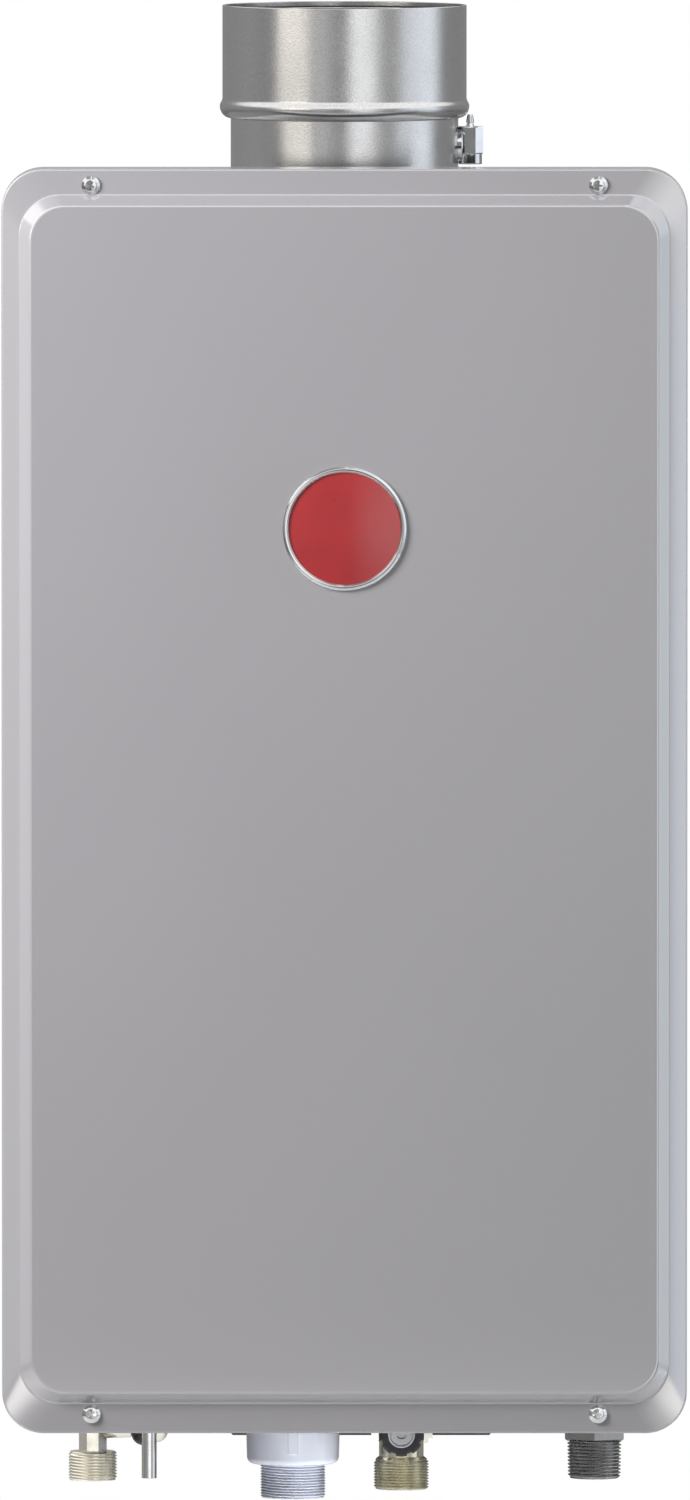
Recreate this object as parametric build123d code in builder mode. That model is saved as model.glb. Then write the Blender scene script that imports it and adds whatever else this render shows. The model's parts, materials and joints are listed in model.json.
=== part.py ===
"""Wall-hung tankless water heater with a concentric vent collar.

X runs to the right, the front faces -Y and Z is up. The wall is the plane Y = 0, and the origin lies on
it in the middle of the four wall bolts. A depth is the distance in front of the wall, so Y = -depth.
"""

import os
from math import cos, radians, sin

from build123d import *

os.makedirs("parts", exist_ok=True)

# Cover: a drawn sheet pan with a flat flange, a sloping step and a raised panel
cover_width = 353.0
cover_height = 652.0
overall_depth = 235.0
cover_corner_radius = 21.5
cover_sheet = 0.8
cover_skirt_depth = 32.0
cover_edge_radius = 3.0
side_flange = 9.2
end_flange = 14.8
step_width = 7.3
step_rise = 6.0
step_corner_radius = 20.6
step_crown_radius = 4.0
step_foot_radius = 2.5

# Cover screws and badge
screw_spacing = 261.0
screw_inset = 9.2
screw_head_radius = 4.9
screw_head_height = 2.8
screw_head_round = 2.2
screw_shank_radius = 2.1
screw_length = 12.0
badge_height = 141.3
badge_radius = 32.0
badge_bezel_width = 3.1
badge_bezel_height = 2.5
badge_bezel_round = 1.2
badge_dome_height = 2.1
badge_dome_edge = 0.9

# Rear case: a folded box whose front lip sits inside the cover's skirt
case_standoff = 12.0
case_sheet = 1.0
case_corner_radius = 8.0
case_side_inset = 13.5
case_end_inset = 17.0
lip_clearance = 1.2
gasket_thickness = 2.2
gasket_width = 4.0

# Wall brackets and the bolts that hang the heater
bolt_spacing = 80.0
bolt_reach = 23.0
bolt_hole_radius = 3.25
bracket_sheet = 1.5
bracket_edge = 12.8
bracket_overlap = 34.0
upper_bracket_width = 110.0
lower_bracket_width = 146.4
lower_bracket_shift = 8.6
bracket_chamfer = 6.0
bracket_screw_radius = 4.0
bracket_screw_height = 1.8
bracket_screw_round = 1.0
bracket_screw_spacing = 70.0

# Vent: the outer collar draws air in, the inner pipe takes the flue gas out
vent_depth = 105.0
collar_radius = 63.3
collar_lower_radius = 59.0
collar_bead_radius = 64.7
collar_wall = 0.8
collar_height = 97.5
collar_bead_foot = 38.6
collar_bead_peak = 45.2
collar_bead_top = 49.5
collar_bead_round = 3.2
collar_bead_under = 52.0
collar_bead_over = 30.0
collar_plate_side = 156.0
collar_plate_sheet = 1.2
collar_plate_corner = 12.0
collar_hole_gap = 3.3
collar_screw_spacing = 136.0
collar_screw_radius = 3.6
collar_screw_height = 2.2
collar_screw_round = 1.5
pipe_radius = 39.5
pipe_wall = 0.6
pipe_below_rim = 2.5

# Test port on the collar's side
port_offset = 65.1
port_rise = 14.9
port_foot_radius = 6.2
port_foot_height = 5.5
port_flats = 13.6
port_height = 19.6
port_nipple_radius = 2.1
port_nipple_height = 6.2
port_nipple_round = 1.4
saddle_radius = 8.9
saddle_rise = 10.0
saddle_reach = 61.2

# Water, gas and drain fittings that stand in a row below the case. Their places, and the widths of the
# burner cell and the blower, are given for a case of the plan's width and spread with the case.
plan_width = 326.0
fitting_depth = 110.0
fitting_rise = 9.0
hot_plan = -130.8
cold_plan = 29.5
gas_plan = 129.8
condensate_plan = -26.8

# Hot outlet and its sideways drain plug
hot_neck_flats = 14.4
hot_thread_radius = 12.6
hot_thread_drop = 36.0
hot_thread_length = 14.9
hot_bore = 4.5
thread_chamfer = 1.2
drain_drop = 23.0
drain_branch_root = 6.6
drain_branch_tip = 5.8
drain_branch_reach = 20.1
drain_knob_radius = 9.9
drain_knob_length = 10.3
drain_knob_round = 6.0
drain_knob_edge = 1.5
drain_end_radius = 8.3
drain_end_length = 8.7
drain_end_round = 6.0
drain_stem_radius = 3.0
drain_stem_length = 12.0

# Relief tube and the valve that feeds it
tube_offset = 29.4
tube_depth = 126.0
tube_radius = 3.9
tube_wall = 0.8
tube_drop = 48.8
relief_height = 47.0
relief_radius = 8.0
relief_length = 26.0
relief_chamfer = 2.0
relief_clamp_height = 12.0
relief_clamp_wall = 2.4
relief_branch_radius = 5.0

# White condensate fitting
condensate_radius = 24.2
condensate_height = 42.2
condensate_round = 3.4
condensate_thread_radius = 16.9
condensate_thread_length = 17.8
condensate_nipple_radius = 8.0
condensate_nipple_rise = 14.0
condensate_bore = 6.0
condensate_rib_width = 1.6
condensate_rib_pitch = 3.4
condensate_rib_height = 20.0
condensate_rib_drop = 16.0
condensate_rib_proud = 1.2

# Cold inlet with its clip, filter knob and strainer
cold_neck_radius = 11.6
cold_thread_radius = 14.3
cold_shoulder_drop = 38.6
cold_shoulder_height = 2.0
cold_thread_length = 14.9
cold_bore = 8.2
filter_drop = 24.0
filter_boss_radius = 10.0
filter_boss_reach = 28.5
filter_bore = 8.0
filter_knob_radius = 11.7
filter_knob_length = 13.0
filter_knob_notches = 8
filter_notch_width = 2.8
filter_notch_depth = 1.0
filter_shank_length = 10.5
filter_insert_radius = 7.1
filter_insert_depth = 1.6
insert_groove_outside = 5.3
insert_groove_inside = 3.2
strainer_radius = 7.2
strainer_wall = 0.9
strainer_length = 25.0
strainer_slots = 6
strainer_slot_width = 3.0
strainer_rim = 2.7
clip_left = 15.6
clip_right = 16.2
clip_drop = 22.0
clip_height = 9.1
clip_back = 16.0
clip_front = 8.0
clip_round = 3.0
clip_step_height = 2.5
clip_step_left = 0.7
clip_step_right = 2.1

# Gas inlet
gas_hex_flats = 30.5
gas_hex_drop = 19.0
gas_hex_height = 11.0
gas_neck_radius = 12.0
gas_thread_radius = 14.15
gas_thread_length = 19.9
gas_bore = 9.0

# Burner cell: burner box, chamber, heat exchanger and flue hood stand on each other
cell_plan = 170.0
cell_deep = 96.0
cell_sheet = 1.2
cell_floor_height = 209.0
burner_box_height = 70.0
chamber_height = 110.0
exchanger_height = 70.0
hood_height = 65.0
flue_room = 94.0
hood_neck_height = 20.0
hood_corner = 10.0
burner_count = 8
burner_margin = 5.0
burner_width = 8.0
burner_neck = 4.0
burner_height = 46.0
burner_foot_top = 16.0
burner_neck_low = 23.0
burner_neck_high = 30.0
burner_head_low = 37.0
burner_length = 86.0
burner_slots = 5
burner_slot_width = 3.0
burner_slot_depth = 5.0
fin_count = 15
fin_side_margin = 2.5
fin_sheet = 0.8
fin_margin = 4.0
exchanger_tube_radius = 8.0
exchanger_tube_wall = 1.0
exchanger_tube_pitch = 25.0
exchanger_bend_reach = 18.0
exchanger_end_reach = 13.0
riser_reach = 22.0
bracket_channel_margin = 10.0
bracket_channel_height = 40.0
bracket_channel_rise = 120.0

# Gas train
manifold_size = 18.0
manifold_margin = 7.0
manifold_gap = 10.0
manifold_level = 16.0
nozzle_radius = 2.5
manifold_lug = 4.0
gas_valve_width = 44.0
gas_valve_deep = 60.0
gas_valve_height = 85.0
gas_valve_round = 5.0
solenoid_radius = 13.0
solenoid_length = 24.0
solenoid_chamfer = 2.6
solenoid_pitch = 40.0
gas_pipe_radius = 7.0
gas_pipe_wall = 1.0
gas_pipe_plan = 70.0
gas_pipe_height = 64.0
gas_pipe_bend = 14.0

# Blower
duct_inset = 4.5
fan_drop = 62.0
fan_back = 90.0
fan_deep = 40.0
fan_wall = 1.2
scroll_gap = 4.0
scroll_growth = 2.5
scroll_duct_width = 37.0
wheel_plan = 39.0
wheel_depth = 28.0
wheel_plate = 1.6
wheel_blades = 18
blade_length = 10.0
blade_sheet = 1.2
blade_sweep = 35.0
wheel_hub_radius = 8.0
shaft_radius = 3.0
shaft_length = 46.0
fan_inlet_inset = 12.0
motor_inset = 11.0
motor_length = 32.0
motor_round = 4.0

# Ignition
igniter_width = 40.0
igniter_deep = 40.0
igniter_height = 70.0
igniter_round = 4.0
igniter_depth = 70.0
igniter_rise = 80.0
electrode_place = 35.0
electrode_pitch = 20.0
electrode_level = 20.0
electrode_plate_width = 44.0
electrode_plate_height = 28.0
ceramic_radius = 3.5
ceramic_length = 17.0
rod_radius = 1.2
rod_length = 32.0
lead_radius = 2.5
lead_bend = 9.0
lead_depth = 184.0

# Cold side inside the case
sensor_radius = 15.0
sensor_bore = 10.5
sensor_height = 38.0
spider_height = 3.0
spider_width = 3.6
turbine_axle_radius = 1.0
turbine_hub_radius = 3.0
turbine_blade_height = 14.0
turbine_blades = 6
turbine_blade_sheet = 1.0
valve_width = 34.0
valve_height = 47.0
valve_round = 4.0
valve_motor_radius = 13.0
valve_motor_length = 22.0
valve_motor_round = 2.6
water_pipe_radius = 8.0
water_pipe_wall = 1.0
water_pipe_bend = 16.0
cold_cross_rise = 30.0
hot_step_height = 119.0
hot_step_drop = 40.0

# Condensate hose
hose_radius = 6.0
hose_bore = 4.0
hose_inset = 14.0
hose_depth = 45.0
hose_start_rise = 20.0
hose_knee_drop = 33.0
hose_cross_height = 37.0
hose_bend = 18.0

# Controller
tray_inset = 7.0
tray_width = 140.0
tray_front_gap = 28.0
tray_deep = 48.0
tray_height = 72.0
tray_wall = 2.0
board_gap = 12.0
board_sheet = 1.6
board_margin = 3.0

# Places and sizes on the circuit board, as shares of the tray's width and height
post_spread = (0.75, 0.6)
transformer_place = (0.3, 0.5)
transformer_size = (0.24, 0.5)
relay_place = (0.7, 0.6)
relay_pitch = (0.14, 0.3)
relay_size = (0.09, 0.18)
component_height = 16.8

# Thermistor
thermistor_rise = 40.0
thermistor_height = 10.0
thermistor_wall = 2.0
thermistor_body = 12.0

# Slip clearances: still parts, and parts that turn or slide
fit = 0.1
running = 0.3

# Places that follow from the driving dimensions
flange_depth = overall_depth - step_rise
skirt_back = flange_depth - cover_skirt_depth
case_front = flange_depth - cover_sheet - gasket_thickness
case_width = cover_width - 2 * case_side_inset
case_height = cover_height - 2 * case_end_inset
case_top = case_height / 2
case_bottom = -case_top
case_inside_width = case_width - 2 * case_sheet
case_inside_height = case_height - 2 * case_sheet
lip_inset = cover_sheet + lip_clearance
bolt_height = case_height + 2 * bolt_reach
screw_rise = cover_height - 2 * screw_inset
collar_seat = case_top + collar_plate_sheet
spread = case_width / plan_width
hot_place = hot_plan * spread
tube_place = hot_place + tube_offset
condensate_place = condensate_plan * spread
cold_place = cold_plan * spread
gas_place = gas_plan * spread
gas_pipe_place = gas_pipe_plan * spread
cell_width = cell_plan * spread


def save(block, name):
    """Label a finished piece and write it as its own file."""
    block.part.label = name
    export_step(block.part, f"parts/{name}.step")


def drawn_pan(inset, open_back):
    """Return the cover's drawn form, every face pulled in by the inset, run back past the skirt's edge."""
    width = cover_width - 2 * inset
    height = cover_height - 2 * inset
    step_wide = cover_width - 2 * side_flange - inset
    step_high = cover_height - 2 * end_flange - inset
    with BuildPart() as pan:
        with BuildSketch(Plane.XZ.offset(skirt_back - open_back)):
            RectangleRounded(width, height, cover_corner_radius - inset)
        extrude(amount=cover_skirt_depth + open_back - inset)
        fillet(pan.faces().sort_by(Axis.Y)[0].edges(), cover_edge_radius - inset)
        with BuildSketch(Plane.XZ.offset(flange_depth - inset)):
            RectangleRounded(step_wide, step_high, step_corner_radius)
        with BuildSketch(Plane.XZ.offset(overall_depth - inset)):
            RectangleRounded(
                step_wide - 2 * step_width,
                step_high - 2 * step_width,
                step_corner_radius - step_width / 2,
            )
        loft(ruled=True)
        fillet(pan.faces().sort_by(Axis.Y)[0].edges(), step_crown_radius - inset)
        flange_face = pan.faces().filter_by(Axis.Y).sort_by(Axis.Y)[1]
        fillet(flange_face.inner_wires()[0].edges(), step_foot_radius + inset)
    return pan.part


# Front cover with its four screw holes
cover_outside = drawn_pan(0.0, 0.0)
cover_inside = drawn_pan(cover_sheet, 1.0)
with BuildPart() as front_cover:
    add(cover_outside)
    add(cover_inside, mode=Mode.SUBTRACT)
    with BuildSketch(Plane.XZ.offset(flange_depth)):
        with GridLocations(screw_spacing, screw_rise, 2, 2):
            Circle(screw_shank_radius + running)
    extrude(amount=-2 * cover_sheet, mode=Mode.SUBTRACT)
save(front_cover, "front_cover")

# Rear case, open to the front, with a lip that carries the gasket and the screws
with BuildPart() as rear_case:
    with BuildSketch(Plane.XZ.offset(case_standoff)):
        RectangleRounded(case_width, case_height, case_corner_radius)
    extrude(amount=case_front - case_standoff)
    with BuildSketch(Plane.XZ.offset(case_front - case_sheet)):
        RectangleRounded(
            cover_width - 2 * lip_inset,
            cover_height - 2 * lip_inset,
            cover_corner_radius - lip_inset,
        )
    extrude(amount=case_sheet)
    with BuildSketch(Plane.XZ.offset(case_standoff + case_sheet)):
        RectangleRounded(case_inside_width, case_inside_height, case_corner_radius - case_sheet)
    extrude(amount=case_front, mode=Mode.SUBTRACT)
    with BuildSketch(Plane.XZ.offset(case_front)):
        with GridLocations(screw_spacing, screw_rise, 2, 2):
            Circle(screw_shank_radius + running)
    extrude(amount=-2 * case_sheet, mode=Mode.SUBTRACT)
    with BuildSketch(Plane.XY.offset(case_top)):
        with Locations((0, -vent_depth)):
            Circle(collar_lower_radius + collar_hole_gap)
    extrude(amount=-2 * case_sheet, mode=Mode.SUBTRACT)

# Gasket ring between the case's lip and the cover's flange
with BuildPart() as cover_gasket:
    with BuildSketch(Plane.XZ.offset(case_front)):
        RectangleRounded(
            case_width + 2 * gasket_width, case_height + 2 * gasket_width, case_corner_radius + gasket_width
        )
        RectangleRounded(case_width, case_height, case_corner_radius, mode=Mode.SUBTRACT)
    extrude(amount=gasket_thickness)
save(cover_gasket, "cover_gasket")

# Cover screws: pan heads on plain shanks
with BuildPart() as cover_screws:
    with BuildSketch(Plane.XZ.offset(flange_depth)):
        with GridLocations(screw_spacing, screw_rise, 2, 2):
            Circle(screw_head_radius)
    extrude(amount=screw_head_height)
    fillet(cover_screws.faces().group_by(Axis.Y)[0].edges(), screw_head_round)
    with BuildSketch(Plane.XZ.offset(flange_depth)):
        with GridLocations(screw_spacing, screw_rise, 2, 2):
            Circle(screw_shank_radius)
    extrude(amount=-screw_length)
save(cover_screws, "cover_screws")

# Badge: a bezel ring round a domed disc, both on the raised panel
with BuildPart() as badge_ring:
    with BuildSketch(Plane.XZ.offset(overall_depth)):
        with Locations((0, badge_height)):
            Circle(badge_radius)
            Circle(badge_radius - badge_bezel_width, mode=Mode.SUBTRACT)
    extrude(amount=badge_bezel_height)
    fillet(badge_ring.faces().sort_by(Axis.Y)[0].edges(), badge_bezel_round)
save(badge_ring, "badge_ring")

dome_radius = badge_radius - badge_bezel_width - fit
with BuildPart() as badge_dome:
    with BuildSketch(Plane.YZ):
        with BuildLine():
            Line((-overall_depth, badge_height), (-overall_depth, badge_height + dome_radius))
            Line(
                (-overall_depth, badge_height + dome_radius),
                (-overall_depth - badge_dome_edge, badge_height + dome_radius),
            )
            dome_top = (-overall_depth - badge_dome_height, badge_height)
            TangentArc(
                dome_top, (-overall_depth - badge_dome_edge, badge_height + dome_radius), tangent=(0, 1)
            )
            Line(dome_top, (-overall_depth, badge_height))
        make_face()
    revolve(axis=Axis((0, 0, badge_height), (0, 1, 0)))
save(badge_dome, "badge_dome")

# Plate that carries the vent collar on the case's roof
with BuildPart() as collar_plate:
    with BuildSketch(Plane.XY.offset(case_top)):
        with Locations((0, -vent_depth)):
            RectangleRounded(collar_plate_side, collar_plate_side, collar_plate_corner)
            Circle(collar_lower_radius, mode=Mode.SUBTRACT)
            with GridLocations(collar_screw_spacing, collar_screw_spacing, 2, 2):
                Circle(collar_screw_radius / 2, mode=Mode.SUBTRACT)
    extrude(amount=collar_plate_sheet)
save(collar_plate, "collar_plate")


def collar_line(inset):
    """Draw the vent collar's profile from foot to rim, set in from its outside by the given distance."""
    low = collar_lower_radius - inset
    high = collar_radius - inset
    roll = collar_bead_round - inset
    middle = collar_bead_radius - collar_bead_round
    peak = case_top + collar_bead_peak
    under = (
        middle + roll * cos(radians(collar_bead_under)),
        peak - roll * sin(radians(collar_bead_under)),
    )
    over = (
        middle + roll * cos(radians(collar_bead_over)),
        peak + roll * sin(radians(collar_bead_over)),
    )
    Polyline((low, case_top), (low, case_top + collar_bead_foot), under)
    ThreePointArc(under, (middle + roll, peak), over)
    Polyline(over, (high, case_top + collar_bead_top), (high, case_top + collar_height))


# Vent collar: lower tube, rolled bead and upper tube
with BuildPart() as vent_collar:
    with BuildSketch(Plane.XZ.offset(vent_depth)):
        with BuildLine():
            collar_line(0)
            collar_line(collar_wall)
            for radius, level in ((collar_lower_radius, case_top), (collar_radius, case_top + collar_height)):
                Line((radius, level), (radius - collar_wall, level))
        make_face()
    revolve(axis=Axis((0, -vent_depth, 0), (0, 0, 1)))
save(vent_collar, "vent_collar")

with BuildPart() as collar_screws:
    with BuildSketch(Plane.XY.offset(collar_seat)):
        with Locations((0, -vent_depth)):
            with GridLocations(collar_screw_spacing, collar_screw_spacing, 2, 2):
                Circle(collar_screw_radius)
    extrude(amount=collar_screw_height)
    fillet(collar_screws.faces().group_by(Axis.Z)[-1].edges(), collar_screw_round)
save(collar_screws, "collar_screws")

# Test port: a saddle on the collar's side, an octagonal body on a round foot, and a hose nipple on top
port_axis = (port_offset, -vent_depth)
port_base = case_top + port_rise
with BuildPart() as test_port:
    with BuildSketch(Plane.XY.offset(port_base)):
        with Locations(port_axis):
            Circle(port_foot_radius)
    extrude(amount=port_foot_height)
    with BuildSketch(Plane.XY.offset(port_base + port_foot_height)):
        with Locations(port_axis):
            RegularPolygon(port_flats / 2, 8, major_radius=False, rotation=22.5)
    extrude(amount=port_height - port_foot_height)
    with BuildSketch(Plane.XY.offset(port_base + port_height)):
        with Locations(port_axis):
            Circle(port_nipple_radius)
    extrude(amount=port_nipple_height)
    fillet(test_port.faces().sort_by(Axis.Z)[-1].edges(), port_nipple_round)
    with BuildSketch(Plane.YZ.offset(saddle_reach)):
        with Locations((-vent_depth, port_base + saddle_rise)):
            Circle(saddle_radius)
    extrude(amount=collar_lower_radius - port_offset)
    with BuildSketch(Plane.XY.offset(case_top)):
        with Locations((0, -vent_depth)):
            Circle(collar_lower_radius + fit)
    extrude(amount=collar_height, mode=Mode.SUBTRACT)
save(test_port, "test_port")


def wall_bracket(name, width, shift, side):
    """Build one joggled wall bracket, the upper one with side +1 and the lower one with side -1."""
    case_edge = side * (case_top - bracket_overlap)
    bend = side * case_top
    tip = side * (bolt_height / 2 + bracket_edge)
    with BuildPart() as bracket:
        with BuildSketch(Plane.YZ.offset(shift - width / 2)):
            with BuildLine():
                Polyline(
                    (-case_standoff, case_edge),
                    (-case_standoff, bend),
                    (-bracket_sheet, bend + side * bracket_sheet),
                    (-bracket_sheet, tip),
                    (0, tip),
                    (0, bend),
                    (bracket_sheet - case_standoff, bend - side * bracket_sheet),
                    (bracket_sheet - case_standoff, case_edge),
                    close=True,
                )
            make_face()
        extrude(amount=width)
        tip_edges = bracket.edges().filter_by(Axis.Y).group_by(Axis.Z)[-1 if side > 0 else 0]
        chamfer(tip_edges, bracket_chamfer)
        with BuildSketch(Plane.XZ):
            with Locations((0, side * bolt_height / 2)):
                with GridLocations(bolt_spacing, 0, 2, 1):
                    Circle(bolt_hole_radius)
        extrude(amount=bracket_sheet, mode=Mode.SUBTRACT)
    save(bracket, name)


wall_bracket("upper_bracket", upper_bracket_width, 0.0, 1)
wall_bracket("lower_bracket", lower_bracket_width, lower_bracket_shift, -1)

with BuildPart() as bracket_screws:
    with BuildSketch(Plane.XZ.offset(case_standoff - bracket_sheet)):
        with GridLocations(bracket_screw_spacing, 2 * (case_top - bracket_overlap / 2), 2, 2):
            Circle(bracket_screw_radius)
    extrude(amount=-bracket_screw_height)
    fillet(bracket_screws.faces().group_by(Axis.Y)[-1].edges(), bracket_screw_round)
save(bracket_screws, "bracket_screws")

# Hot outlet: octagonal neck, threaded end and a sideways branch for the drain plug
hot_axis = (hot_place, -fitting_depth)
drain_axis = (-fitting_depth, case_bottom - drain_drop)
with BuildPart() as hot_outlet:
    with BuildSketch(Plane.XY.offset(case_bottom - hot_thread_drop)):
        with Locations(hot_axis):
            Circle(hot_thread_radius)
    extrude(amount=-hot_thread_length)
    chamfer(hot_outlet.edges().filter_by(GeomType.CIRCLE), thread_chamfer)
    with BuildSketch(Plane.XY.offset(case_bottom + fitting_rise)):
        with Locations(hot_axis):
            RegularPolygon(hot_neck_flats / 2, 8, major_radius=False, rotation=22.5)
    extrude(amount=-(fitting_rise + hot_thread_drop))
    with BuildSketch(Plane.YZ.offset(hot_place)):
        with Locations(drain_axis):
            Circle(drain_branch_root)
    with BuildSketch(Plane.YZ.offset(hot_place + drain_branch_reach)):
        with Locations(drain_axis):
            Circle(drain_branch_tip)
    loft()
    with BuildSketch(Plane.XY.offset(case_bottom + fitting_rise)):
        with Locations(hot_axis):
            Circle(hot_bore)
    extrude(amount=-(fitting_rise + hot_thread_drop + hot_thread_length), mode=Mode.SUBTRACT)
    with BuildSketch(Plane.YZ.offset(hot_place + drain_branch_reach)):
        with Locations(drain_axis):
            Circle(drain_stem_radius + running)
    extrude(amount=-drain_branch_reach, mode=Mode.SUBTRACT)
save(hot_outlet, "hot_outlet")

# Drain plug: a brass stem inside a black knob, with a round brass end beyond it
drain_face = hot_place + drain_branch_reach
with BuildPart() as drain_knob:
    with BuildSketch(Plane.YZ.offset(drain_face)):
        with Locations(drain_axis):
            Circle(drain_knob_radius)
            Circle(drain_stem_radius + running, mode=Mode.SUBTRACT)
    extrude(amount=drain_knob_length)
    rims = drain_knob.edges().filter_by(GeomType.CIRCLE).sort_by(SortBy.RADIUS)[-2:].sort_by(Axis.X)
    fillet(rims[0], drain_knob_round)
    outer_rim = drain_knob.faces().sort_by(Axis.X)[-1].edges().sort_by(SortBy.RADIUS)[-1]
    fillet(outer_rim, drain_knob_edge)
save(drain_knob, "drain_knob")

with BuildPart() as drain_stem:
    with BuildSketch(Plane.YZ.offset(drain_face - drain_stem_length)):
        with Locations(drain_axis):
            Circle(drain_stem_radius)
    extrude(amount=drain_stem_length + drain_knob_length)
    with BuildSketch(Plane.YZ.offset(drain_face + drain_knob_length)):
        with Locations(drain_axis):
            Circle(drain_end_radius)
    extrude(amount=drain_end_length)
    fillet(drain_stem.faces().sort_by(Axis.X)[-1].edges(), drain_end_round)
save(drain_stem, "drain_stem")

# Relief tube out of the case's bottom, and the relief valve clamped to the hot pipe
tube_axis = (tube_place, -tube_depth)
relief_base = case_bottom + relief_height
with BuildPart() as relief_tube:
    with BuildSketch(Plane.XY.offset(relief_base)):
        with Locations(tube_axis):
            Circle(tube_radius)
            Circle(tube_radius - tube_wall, mode=Mode.SUBTRACT)
    extrude(amount=-(relief_height + tube_drop))
save(relief_tube, "relief_tube")

clamp_level = relief_base + relief_length / 2 - relief_clamp_height / 2
relief_line = Vector(hot_place - tube_place, tube_depth - fitting_depth, 0)
with BuildPart() as relief_valve:
    with BuildSketch(Plane.XY.offset(relief_base)):
        with Locations(tube_axis):
            Circle(relief_radius)
    extrude(amount=relief_length)
    chamfer(relief_valve.faces().sort_by(Axis.Z)[-1].edges(), relief_chamfer)
    relief_start = Vector(tube_place, -tube_depth, relief_base + relief_length / 2)
    with BuildSketch(Plane(origin=relief_start, z_dir=relief_line)):
        Circle(relief_branch_radius)
    extrude(amount=relief_line.length)
    with BuildSketch(Plane.XY.offset(clamp_level)):
        with Locations(hot_axis):
            Circle(water_pipe_radius + fit + relief_clamp_wall)
    extrude(amount=relief_clamp_height)
    with BuildSketch(Plane.XY.offset(clamp_level)):
        with Locations(hot_axis):
            Circle(water_pipe_radius + fit)
    extrude(amount=relief_clamp_height, mode=Mode.SUBTRACT)
save(relief_valve, "relief_valve")

# White condensate fitting: a rounded trap body, ribs on its front, a threaded end and a hose nipple
condensate_axis = (condensate_place, -fitting_depth)
condensate_floor = case_bottom - condensate_height
with BuildPart() as condensate_fitting:
    with BuildSketch(Plane.XY.offset(case_bottom)):
        with Locations(condensate_axis):
            Circle(condensate_radius)
    extrude(amount=-condensate_height)
    fillet(condensate_fitting.faces().sort_by(Axis.Z)[0].edges(), condensate_round)
    with BuildSketch(Plane.XY.offset(condensate_floor)):
        with Locations(condensate_axis):
            Circle(condensate_thread_radius)
    extrude(amount=-condensate_thread_length)
    chamfer(condensate_fitting.faces().sort_by(Axis.Z)[0].edges(), thread_chamfer)
    with BuildSketch(Plane.XY.offset(case_bottom - condensate_rib_drop)):
        with Locations((condensate_place, -fitting_depth - condensate_radius)):
            with GridLocations(condensate_rib_pitch, 0, 3, 1):
                Rectangle(condensate_rib_width, 2 * condensate_rib_proud)
    extrude(amount=-condensate_rib_height)
    with BuildSketch(Plane.XY.offset(case_bottom)):
        with Locations(condensate_axis):
            Circle(condensate_nipple_radius)
    extrude(amount=condensate_nipple_rise)
    with BuildSketch(Plane.XY.offset(case_bottom + condensate_nipple_rise)):
        with Locations(condensate_axis):
            Circle(condensate_bore)
    drain_run = condensate_nipple_rise + condensate_height + condensate_thread_length
    extrude(amount=-drain_run, mode=Mode.SUBTRACT)
save(condensate_fitting, "condensate_fitting")

# Cold inlet: round neck, conical shoulder, threaded end and a boss for the filter facing the front
cold_axis = (cold_place, -fitting_depth)
filter_axis = (cold_place, case_bottom - filter_drop)
cold_thread_top = case_bottom - cold_shoulder_drop - cold_shoulder_height
knob_seat = fitting_depth + filter_boss_reach + running
knob_front = knob_seat + filter_knob_length
strainer_face = knob_seat - filter_shank_length
with BuildPart() as cold_inlet:
    with BuildSketch(Plane.XZ.offset(fitting_depth)):
        with BuildLine():
            Polyline(
                (cold_place, case_bottom + fitting_rise),
                (cold_place + cold_neck_radius, case_bottom + fitting_rise),
                (cold_place + cold_neck_radius, case_bottom - cold_shoulder_drop),
                (cold_place + cold_thread_radius, cold_thread_top),
                (cold_place + cold_thread_radius, cold_thread_top - cold_thread_length + thread_chamfer),
                (cold_place + cold_thread_radius - thread_chamfer, cold_thread_top - cold_thread_length),
                (cold_place, cold_thread_top - cold_thread_length),
                close=True,
            )
        make_face()
    revolve(axis=Axis((cold_place, -fitting_depth, 0), (0, 0, 1)))
    with BuildSketch(Plane.XZ.offset(fitting_depth)):
        with Locations(filter_axis):
            Circle(filter_boss_radius)
    extrude(amount=filter_boss_reach)
    with BuildSketch(Plane.XY.offset(case_bottom + fitting_rise)):
        with Locations(cold_axis):
            Circle(cold_bore)
    cold_run = fitting_rise + cold_shoulder_drop + cold_shoulder_height + cold_thread_length
    extrude(amount=-cold_run, mode=Mode.SUBTRACT)
    with BuildSketch(Plane.XZ.offset(strainer_face - strainer_length - running)):
        with Locations(filter_axis):
            Circle(filter_bore)
    extrude(amount=filter_shank_length + strainer_length + running, mode=Mode.SUBTRACT)
save(cold_inlet, "cold_inlet")

# Filter knob: notched rim, plain shank for its thread and a recess for the grey insert
with BuildPart() as filter_knob:
    with BuildSketch(Plane.XZ.offset(knob_seat)):
        with Locations(filter_axis):
            Circle(filter_knob_radius)
            with PolarLocations(filter_knob_radius, filter_knob_notches, 180 / filter_knob_notches):
                Rectangle(2 * filter_notch_depth, filter_notch_width, mode=Mode.SUBTRACT)
    extrude(amount=filter_knob_length)
    with BuildSketch(Plane.XZ.offset(knob_front)):
        with Locations(filter_axis):
            Circle(filter_insert_radius + fit)
    extrude(amount=-filter_insert_depth, mode=Mode.SUBTRACT)
    with BuildSketch(Plane.XZ.offset(knob_seat)):
        with Locations(filter_axis):
            Circle(filter_bore - running)
    extrude(amount=-filter_shank_length)
save(filter_knob, "filter_knob")

with BuildPart() as filter_insert:
    with BuildSketch(Plane.XZ.offset(knob_front - filter_insert_depth)):
        with Locations(filter_axis):
            Circle(filter_insert_radius)
    extrude(amount=filter_insert_depth)
    with BuildSketch(Plane.XZ.offset(knob_front)):
        with Locations(filter_axis):
            Circle(insert_groove_outside)
            Circle(insert_groove_inside, mode=Mode.SUBTRACT)
    extrude(amount=-filter_insert_depth / 2, mode=Mode.SUBTRACT)
save(filter_insert, "filter_insert")

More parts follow.
